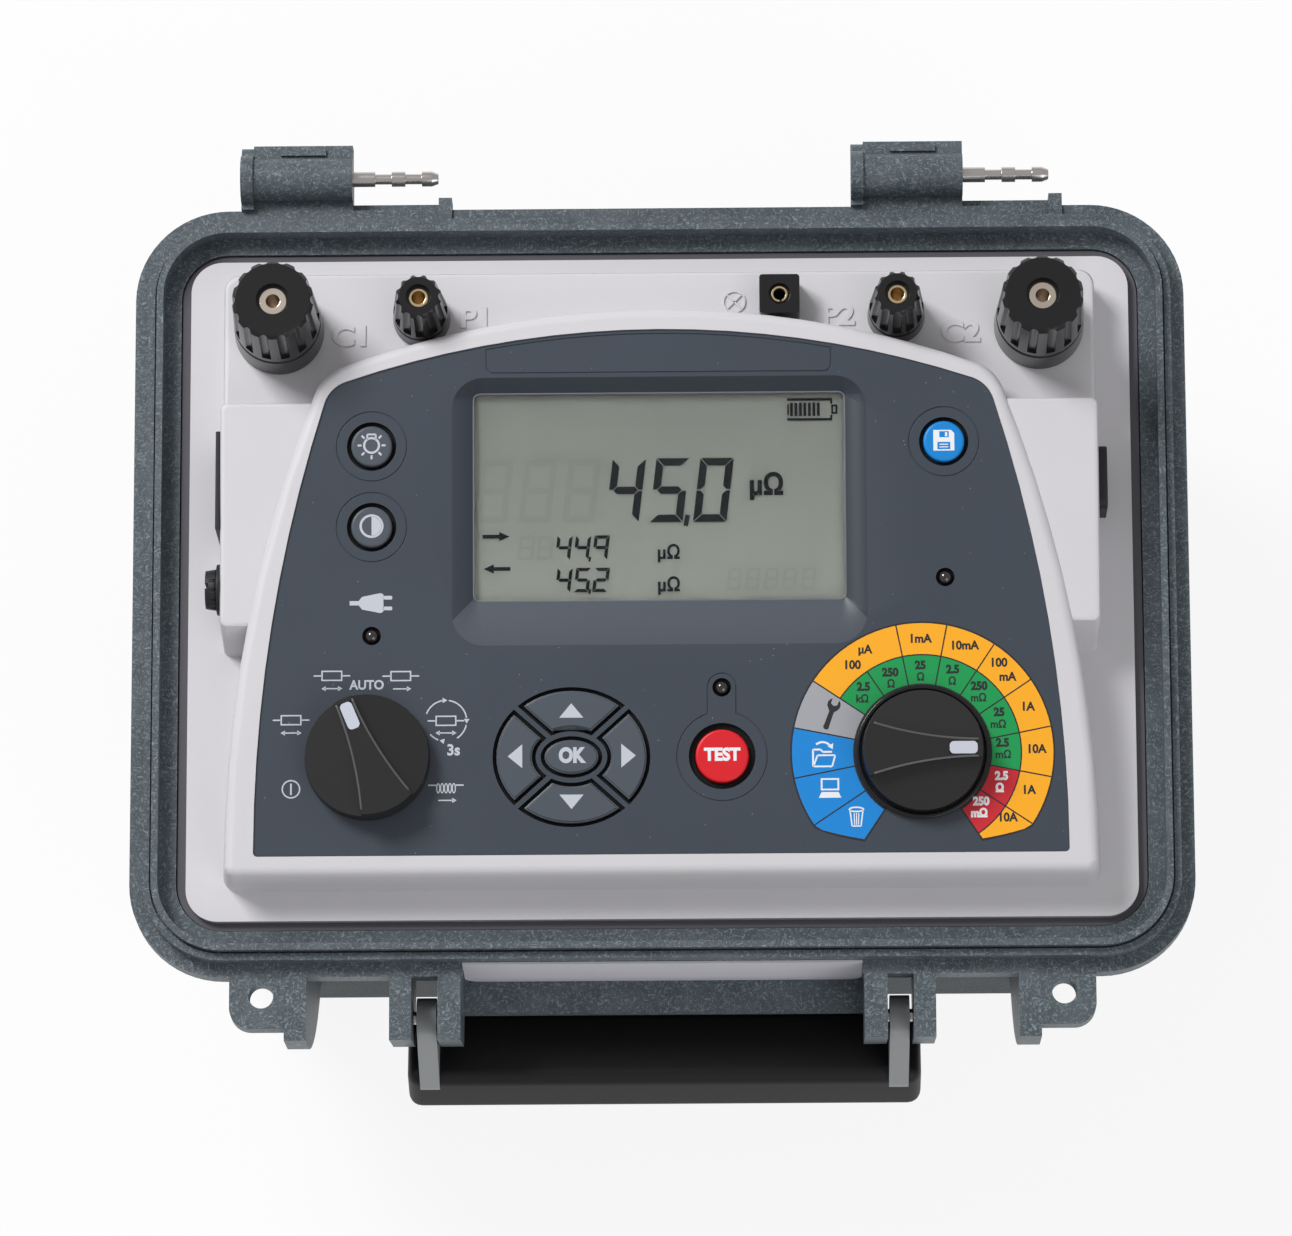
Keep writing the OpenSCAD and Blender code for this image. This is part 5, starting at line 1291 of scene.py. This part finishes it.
@dataclass
class FunctionLegend:
    """The pale signs printed round the function knob, and the mains sign above them."""

    shop: Shop
    plane: Plane
    # Heights of the signs' underside and top from the bezel, and the width of their lines
    span: Point = (-0.62, -0.57)
    stroke: float = 0.42
    # Places of the signs on the console
    both_ways: Point = (-96.7, -31.6)
    auto: Point = (-86.4, -34.5)
    one_way: Point = (-76.4, -31.8)
    both_ways_left: Point = (-108.7, -44.7)
    power_off: Point = (-108.7, -65.2)
    repeat: Point = (-63.1, -45.2)
    seconds: Point = (-60.9, -54.0)
    coil_sign: Point = (-63.1, -65.2)
    mains: Point = (-85.2, -10.0)

    def resistor(self, stencil: Stencil, at: Point) -> None:
        """Adds a resistor with its two leads."""
        stencil.frame(at, 6.2, 3.1, self.stroke)
        for side in (-1, 1):
            stencil.bar((at[0] + side * 3.0, at[1]), (at[0] + side * 5.4, at[1]), self.stroke)

    def current(self, stencil: Stencil, at: Point, heads: Sequence[int]) -> None:
        """Adds the arrow under a sign, with a head on each side named."""
        stencil.bar((at[0] - 2.3, at[1]), (at[0] + 2.3, at[1]), self.stroke * 0.9)
        for side in heads:
            stencil.head((at[0] + side * 3.1, at[1]), 0.0 if side > 0 else 180.0, 1.3, 1.5)

    def build(self) -> None:
        """Prints the signs."""
        pale = Stencil()
        for at in (self.both_ways, self.both_ways_left, self.one_way):
            self.resistor(pale, at)
            self.current(pale, (at[0], at[1] - 3.8), (1,) if at == self.one_way else (-1, 1))
        pale.word("AUTO", self.auto, 2.8, 0.11, 0.94)
        x, y = self.power_off
        pale.ring((x, y), 2.55, self.stroke).bar((x, y - 1.7), (x, y + 1.7), 0.5)
        self.resistor(pale, self.repeat)
        self.current(pale, (self.repeat[0], self.repeat[1] - 3.6), (-1, 1))
        for start, stop in ((160, 100), (82, 8), (-12, -58), (-112, -140)):
            pale.band(self.repeat, 6.1, self.stroke, start, stop)
        for angle, turn in ((90, 0), (-4, -94), (-104, 168)):
            tip = arc(self.repeat, 6.1, angle - 4, angle, 1)[0]
            pale.head(tip, turn, 1.4, 1.6)
        pale.word("3s", self.seconds, 3.3, 0.14, 0.98)
        self.coil(pale, self.coil_sign)
        self.plug(pale, self.mains)
        self.shop.lay(pale, self.plane, self.span, "function_print", PALE_INK)

    def coil(self, stencil: Stencil, at: Point) -> None:
        """Adds the coil sign with its arrow."""
        x, y = at
        for side in (-1, 1):
            stencil.bar((x + side * 2.7, y + 0.9), (x + side * 5.2, y + 0.9), self.stroke)
        for i in range(5):
            centre = (x + (i - 2) * 1.15, y)
            stencil.shape(oval(centre, 0.62, 1.55, 20), oval(centre, 0.62 * 0.45, 1.55 * 0.76, 20))
        self.current(stencil, (x, y - 3.6), (1,))

    @staticmethod
    def plug(stencil: Stencil, at: Point) -> None:
        """Adds the sign of a plug on its lead."""
        half = [(-6.3, 0.65), (-3.6, 0.65), (-2.6, 1.9), (2.9, 3.0), (3.7, 2.5)]
        stencil.shape(shifted([(-6.3, -0.65), *half, *((x, -y) for x, y in half[:0:-1])], at))
        for side in (-1, 1):
            stencil.shape(round_box((at[0] + 4.9, at[1] + side * 1.6), 2.8, 1.1, 0.4))


@dataclass
class Keypad:
    """The nine keys with their signs, which ride with them."""

    shop: Shop
    plane: Plane
    # Heights of the signs' underside and top from the bezel
    span: Point = (0.18, 0.23)
    edge: float = 0.35

    def sign(self, stencil: Stencil, key: str, finish: Finish = PALE_INK) -> None:
        """Prints a sign on a key and lets it ride with the key."""
        self.shop.lay(stencil, self.plane, self.span, f"{key}_sign", finish, self.shop.body_of(key))

    def middle(self, key: str) -> Point:
        """Returns the middle of a key on the console."""
        low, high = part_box(key)
        return self.plane.local((low + high) / 2)

    def build(self) -> None:
        """Dresses the keys and prints their signs."""
        finishes = {"save_key": KEY_BLUE, "test_key": KEY_RED}
        for key in ("light", "contrast", "save", "test", "up", "down", "left", "right", "ok"):
            node = f"{key}_key"
            self.shop.soften(node, finishes.get(node, KEY), self.edge)
        self.shop.soften("indicator_lamps", LAMP, 0.0)
        self.arrows()
        self.lamp_sign()
        self.contrast_sign()
        self.disk_sign()
        self.sign(Stencil().word("TEST", self.middle("test_key"), 3.7, 0.24, 0.95), "test_key", WHITE_INK)
        self.sign(Stencil().word("OK", self.middle("ok_key"), 4.3, 0.34, 0.84), "ok_key")

    def arrows(self) -> None:
        """Prints the four arrow signs, each pointing away from the pad's middle."""
        centre = self.middle("ok_key")
        for key, turn, reach in (("up", 90, 13.5), ("left", 180, 16.6), ("down", 270, 13.6), ("right", 0, 16.8)):
            at = arc(centre, reach, turn, turn, 1)[0]
            outline = shifted([(2.15, 0.0), (-2.15, 3.55), (-2.15, -3.55)], at, turn)
            self.sign(Stencil().shape(outline), f"{key}_key")

    def lamp_sign(self) -> None:
        """Prints the lamp on the light key."""
        x, y = self.middle("light_key")
        lamp = Stencil().ring((x, y), 2.2, 0.65)
        socket = [(-1.25, 1.75), (-1.25, 3.3), (1.25, 3.3), (1.25, 1.75)]
        lamp.path(shifted(socket, (x, y)), 0.55)
        for angle in (-90, -135, -45, 180, 0, 135, 45):
            start, end = (arc((x, y), radius, angle, angle, 1)[0] for radius in (2.95, 4.15))
            lamp.bar(start, end, 0.6)
        self.sign(lamp, "light_key")

    def contrast_sign(self) -> None:
        """Prints the half-filled disc on the contrast key."""
        at = self.middle("contrast_key")
        half = Stencil().ring(at, 3.2, 0.7).shape(arc(at, 3.0, -90, 90))
        self.sign(half, "contrast_key")

    def disk_sign(self) -> None:
        """Prints the disk on the save key."""
        x, y = at = self.middle("save_key")
        body = [(-3.1, -3.1), (3.1, -3.1), (3.1, 2.1), (2.1, 3.1), (-3.1, 3.1)]
        label = [(-1.9, -2.7), (1.9, -2.7), (1.9, -0.5), (-1.9, -0.5)]
        shutter = [(-1.3, 0.9), (1.5, 0.9), (1.5, 2.7), (-1.3, 2.7)]
        disk = Stencil().shape(*(shifted(outline, at) for outline in (body, label, shutter)))
        disk.bar((x + 0.7, y + 1.2), (x + 0.7, y + 2.4), 0.7)
        for drop in (1.2, 2.0):
            disk.bar((x - 1.3, y - drop), (x + 1.3, y - drop), 0.3)
        self.sign(disk, "save_key", WHITE_INK)


@dataclass
class Knobs:
    """The two rotary knobs with their lips, pale as a painted highlight, and their pale marks."""

    shop: Shop
    console: Plane
    edge: float = 0.7
    # Half widths of a blade at its tip, its waist and its tail
    half_tip: float = 2.75
    half_waist: float = 4.2
    half_tail: float = 9.0
    # The lip on a blade's edge: its radius, how deep its middle lies, and how far inside it stays
    lip_r: float = 0.34
    lip_sink: float = 0.10
    lip_in: float = 0.25
    lip_end: float = 1.2
    blade_steps: int = 40
    # The mark: its middle in from the rim, its size, its rounding, its depth and how far it stands up
    mark_in: float = 6.3
    mark_width: float = 3.7
    mark_length: float = 8.2
    mark_round: float = 1.25
    mark_depth: float = 0.55
    mark_rise: float = 0.05
    # The way each blade points, in degrees turning left from the back
    turns: dict[str, float] = field(default_factory=lambda: {"function": 22.5, "range": -90.0})

    def build(self) -> None:
        """Dresses the knobs, the marks and the gloss collar."""
        for knob in self.turns:
            self.shop.soften(f"{knob}_knob", KNOB, self.edge, segments=3)
            low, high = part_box(f"{knob}_knob")
            radius = (high.x - low.x) / 2 / MM
            self.mark(knob, radius)
            self.lips(knob, radius)
        self.shop.soften("range_collar", BLACK, 0.5, segments=3)

    def seat(self, knob: str, sink: float) -> Matrix:
        """Returns the transform that lays flat work on a knob's top, along its blade.

        Args:
            knob: The knob's short name.
            sink: How far under the top it lies, in mm.
        """
        across, along = self.console.local(self.shop.joint(f"{knob}_turn")["pos_m"])
        source = self.shop.frame["nodes"][f"{knob}_knob"]
        top = max((source.matrix_world @ v.co - self.console.origin).dot(self.console.normal)
                  for v in source.data.vertices) / MM
        spot = Matrix.Translation(Vector((across, along, 0.0)) * MM)
        return self.console.matrix(top - sink) @ spot @ Matrix.Rotation(radians(self.turns[knob]), 4, "Z")

    def mark(self, knob: str, radius: float) -> None:
        """Lets the pale mark with round corners into a blade."""
        outline = round_box((0.0, radius - self.mark_in), self.mark_width, self.mark_length, self.mark_round)
        mark = Stencil().shape(outline).cut(level(Vector()), -self.mark_depth, self.mark_rise)
        self.shop.round_edges(mark, 0.08, 2, 60.0)
        mark.data.transform(self.seat(knob, 0.0))
        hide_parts(f"{knob}_mark")
        self.shop.place(mark, f"{knob}_mark_dressed", self.shop.body_of(f"{knob}_knob"), MARK)

    def lips(self, knob: str, radius: float) -> None:
        """Lays a fine lip along both edges of a knob's blade, pale as a painted highlight."""
        edge = self.blade_edge(radius)
        piece = poly_curve([[(side * x, y) for x, y in edge] for side in (-1, 1)], "3D", closed=False)
        piece.data.bevel_depth = self.lip_r * MM
        piece.data.bevel_resolution = 3
        piece.data.use_fill_caps = True
        select(piece)
        bpy.ops.object.convert(target="MESH")
        piece = bpy.context.object
        clean_mesh(piece)
        bpy.ops.object.shade_smooth()
        piece.data.transform(self.seat(knob, self.lip_sink))
        self.shop.place(piece, f"{knob}_lips", self.shop.body_of(f"{knob}_knob"), KNOB_LIP_PAINTED_HIGHLIGHT)

    def blade_edge(self, radius: float) -> Outline:
        """Returns points along a blade's right edge, on the circle through its tip, waist and tail."""
        ax, ay, bx, cx, cy = self.half_tip, radius, self.half_waist, self.half_tail, -radius
        d = 2 * (ax * -cy + bx * (cy - ay) + cx * ay)
        a2, b2, c2 = ax * ax + ay * ay, bx * bx, cx * cx + cy * cy
        ux = (a2 * -cy + b2 * (cy - ay) + c2 * ay) / d
        uy = (a2 * (cx - bx) + b2 * (ax - cx) + c2 * (bx - ax)) / d
        bow = hypot(ax - ux, ay - uy)
        side = 1 if bx > ux else -1
        rows = [ay - 2 * ay * i / self.blade_steps for i in range(self.blade_steps + 1)]
        points = [(ux + side * sqrt(bow * bow - (y - uy) ** 2) - self.lip_in, y) for y in rows]
        return [(x, y) for x, y in points if hypot(x, y) < radius - self.lip_end]


@dataclass
class Terminals:
    """The four screw terminals."""

    shop: Shop
    cap_edge: float = 0.35

    def build(self) -> None:
        """Dresses each terminal's collar, stud, ring and cap."""
        for name in ("c1", "c2", "p1", "p2"):
            self.shop.soften(f"{name}_collar", BLACK, 0.3)
            self.shop.soften(f"{name}_cap", BLACK, self.cap_edge)
            self.shop.soften(f"{name}_stud", PLATED if name.startswith("c") else BRASS, 0.25)
            self.shop.soften(f"{name}_ring", WASHER, 0.15)


@dataclass
class Sockets:
    """The probe jack, the mains inlet, the fuse and the data socket."""

    shop: Shop
    deck: Plane
    # Split contact in the jack: its middle radius, its wall, its foot and its top above the deck
    contact_r: float = 2.12
    contact_wall: float = 0.55
    contact_foot: float = 8.0
    contact_top: float = 9.3

    def contact(self) -> None:
        """Makes the split contact in the probe jack."""
        low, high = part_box("probe_jack")
        middle = self.deck.local((low + high) / 2)
        split = Stencil().band(middle, self.contact_r, self.contact_wall, -70.0, 272.0)
        piece = split.cut(self.deck, self.contact_foot, self.contact_top)
        self.shop.round_edges(piece, 0.1, 2, 50.0)
        self.shop.place(piece, "jack_contact", "root", BRASS)

    def build(self) -> None:
        """Dresses the sockets."""
        self.shop.soften("probe_jack", BLACK, 0.3)
        self.contact()
        for node, width in (("mains_inlet", 0.3), ("fuse_holder", 0.3), ("fuse_cap", 0.2), ("data_socket", 0.3)):
            self.shop.soften(node, SWITCH, width)


@dataclass
class Innards:
    """What works inside the tub and under the console."""

    shop: Shop

    def build(self) -> None:
        """Gives each inner piece its finish."""
        finishes = {"key_mat": MAT, "main_board": BOARD, "function_switch": SWITCH, "range_switch": SWITCH,
                    "battery_pack": SLEEVE, "power_supply": SUPPLY, "heat_sink": ALUMINIUM,
                    "current_shunt": BRASS}
        for node, finish in finishes.items():
            self.shop.leave(node, finish)


@dataclass
class Studio:
    """The pale floor, the soft lights and the camera."""

    # Camera: what it looks at in mm, its distance, and its angles in degrees
    aim: tuple[float, float, float] = (-4.49, -2.42, 110.0)
    distance: float = 2300.0
    elevation: float = 76.64
    azimuth: float = 3.22
    roll: float = -3.54
    lens: float = 214.5
    # Width of the sensor in mm, how far the camera sees and the floor's width, both in m
    sensor: float = 36.0
    sight: float = 20.0
    floor_size: float = 8.0
    # Light of the room on the object, and how far the floor shows as plain white
    world_strength: float = 0.36
    mirrored_strength: float = 0.45
    white_share: float = 0.88
    # Each soft light: its name, its place and its width in m, and its power in W
    lamps: tuple[tuple[str, tuple[float, float, float], float, float], ...] = (
        ("key_light", (-1.15, 1.1, 1.75), 0.8, 40.0), ("fill_light", (1.0, -1.4, 1.4), 1.4, 11.0))
    lit_point: tuple[float, float, float] = (0.0, 0.0, 0.1)

    def build(self) -> None:
        """Sets the stage."""
        self.floor()
        self.lights()
        self.camera()

    def floor(self) -> None:
        """Lays the floor."""
        bpy.ops.mesh.primitive_plane_add(size=self.floor_size, location=(0.0, 0.0, 0.0))
        floor = bpy.context.object
        floor.name = "studio_floor"
        made = bpy.data.materials.new("floor_paper")
        made.use_nodes = True
        board = Board(made.node_tree)
        shader = board.add("ShaderNodeBsdfPrincipled", {"Base Color": (0.90, 0.90, 0.90, 1.0),
                                                        "Roughness": 0.9, "Specular IOR Level": 0.0})
        white = board.add("ShaderNodeEmission", {"Color": (1.0, 1.0, 1.0, 1.0), "Strength": 1.0})
        seen = self.rays(board, "Is Camera Ray", "Is Glossy Ray", "Is Transmission Ray")
        share = board.maths("MULTIPLY", seen, self.white_share)
        mixed = board.add("ShaderNodeMixShader", {0: share, 1: shader.outputs[0], 2: white.outputs[0]})
        board.add("ShaderNodeOutputMaterial", {"Surface": mixed.outputs[0]})
        floor.data.materials.append(made)
        floor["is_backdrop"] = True

    @staticmethod
    def rays(board: Board, *kinds: str) -> Socket:
        """Returns 1 for rays of the kinds named and 0 for all others."""
        path = board.add("ShaderNodeLightPath").outputs
        share = path[kinds[0]]
        for kind in kinds[1:]:
            share = board.maths("MAXIMUM", share, path[kind])
        return share

    def lights(self) -> None:
        """Hangs two wide soft lights and fills the room with pale light."""
        world = bpy.data.worlds.new("studio_air")
        world.use_nodes = True
        board = Board(world.node_tree)
        direct = self.rays(board, "Is Camera Ray", "Is Transmission Ray")
        glossy = self.rays(board, "Is Glossy Ray")
        mirrored = board.remap(glossy, 0.0, 1.0, self.world_strength, self.mirrored_strength)
        strength = board.maths("MAXIMUM", mirrored, direct)
        sky = board.add("ShaderNodeBackground", {"Color": (1.0, 1.0, 1.0, 1.0), "Strength": strength})
        board.add("ShaderNodeOutputWorld", {"Surface": sky.outputs[0]})
        bpy.context.scene.world = world
        for name, at, size, power in self.lamps:
            bpy.ops.object.light_add(type="AREA", location=at)
            lamp = bpy.context.object
            lamp.name = name
            lamp.data.shape = "SQUARE"
            lamp.data.size = size
            lamp.data.energy = power
            lamp.rotation_euler = (Vector(self.lit_point) - Vector(at)).to_track_quat("-Z", "Y").to_euler()

    def camera(self) -> None:
        """Places the camera at the photograph's viewing angle."""
        e, a = radians(self.elevation), radians(self.azimuth)
        toward = Vector((sin(a) * cos(e), -cos(a) * cos(e), sin(e)))
        aim = Vector(self.aim) * MM
        bpy.ops.object.camera_add(location=aim + toward * self.distance * MM)
        camera = bpy.context.object
        camera.name = "photo_camera"
        forward = -toward
        right = forward.cross(Vector((0.0, 0.0, 1.0))).normalized()
        up = right.cross(forward)
        r = radians(self.roll)
        rolled_right = right * cos(r) + up * sin(r)
        rolled_up = up * cos(r) - right * sin(r)
        axes = (rolled_right, rolled_up, toward)
        turn = Matrix([[axis[row] for axis in axes] for row in range(3)])
        camera.rotation_euler = turn.to_euler()
        camera.data.lens = self.lens
        camera.data.sensor_width = self.sensor
        camera.data.clip_end = self.sight
        bpy.context.scene.camera = camera
        bpy.context.scene.view_settings.view_transform = "Standard"


def console_plane(shop: Shop) -> Plane:
    """Works out the console's bezel plane from the function knob's joint.

    Args:
        shop: The shop with the loaded frame.

    Returns:
        The plane, with its origin above the middle of the panel.
    """
    knob = shop.joint("function_turn")
    normal = Vector(knob["axis"]).normalized()
    right = Vector((1.0, 0.0, 0.0))
    up = normal.cross(right)
    low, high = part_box("front_panel")
    middle = Vector((0.0, (low.y + high.y) / 2, 0.0))
    point = Vector(knob["pos_m"])
    middle.z = point.z - (normal.x * (middle.x - point.x) + normal.y * (middle.y - point.y)) / normal.z
    return Plane(middle, right, up, normal)


def deck_plane() -> Plane:
    """Returns the flat terminal deck's plane, with its origin over the middle of the panel."""
    low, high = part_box("front_panel")
    return level(Vector((0.0, (low.y + high.y) / 2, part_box("c1_collar")[0].z)))


def corners() -> list[list[float]]:
    """Returns the box of all that shows, as plain lists."""
    low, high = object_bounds()
    return [list(low), list(high)]


def main() -> None:
    """Builds the looks, sub-assembly by sub-assembly."""
    logging.basicConfig(level=logging.INFO, format="%(message)s")
    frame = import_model()
    drop_selection()
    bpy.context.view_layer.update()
    shop = Shop(frame)
    console, deck = console_plane(shop), deck_plane()
    dial_centre = console.local(shop.joint("range_turn")["pos_m"])
    low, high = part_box("display_module")
    back = console.local((low + high) / 2)[1]
    display = Plane(console.origin + console.up * back * MM, console.right, console.up, console.normal)
    Casework(shop).build()
    Handle(shop).build()
    PanelMoulding(shop, deck, console).build()
    Display(shop, display, glass_top=-7.0).build()
    RangeDial(shop, console, dial_centre).build()
    FunctionLegend(shop, console).build()
    Keypad(shop, console).build()
    Knobs(shop, console).build()
    Terminals(shop).build()
    Sockets(shop, deck).build()
    Innards(shop).build()
    Studio().build()


if __name__ == "__main__":
    main()
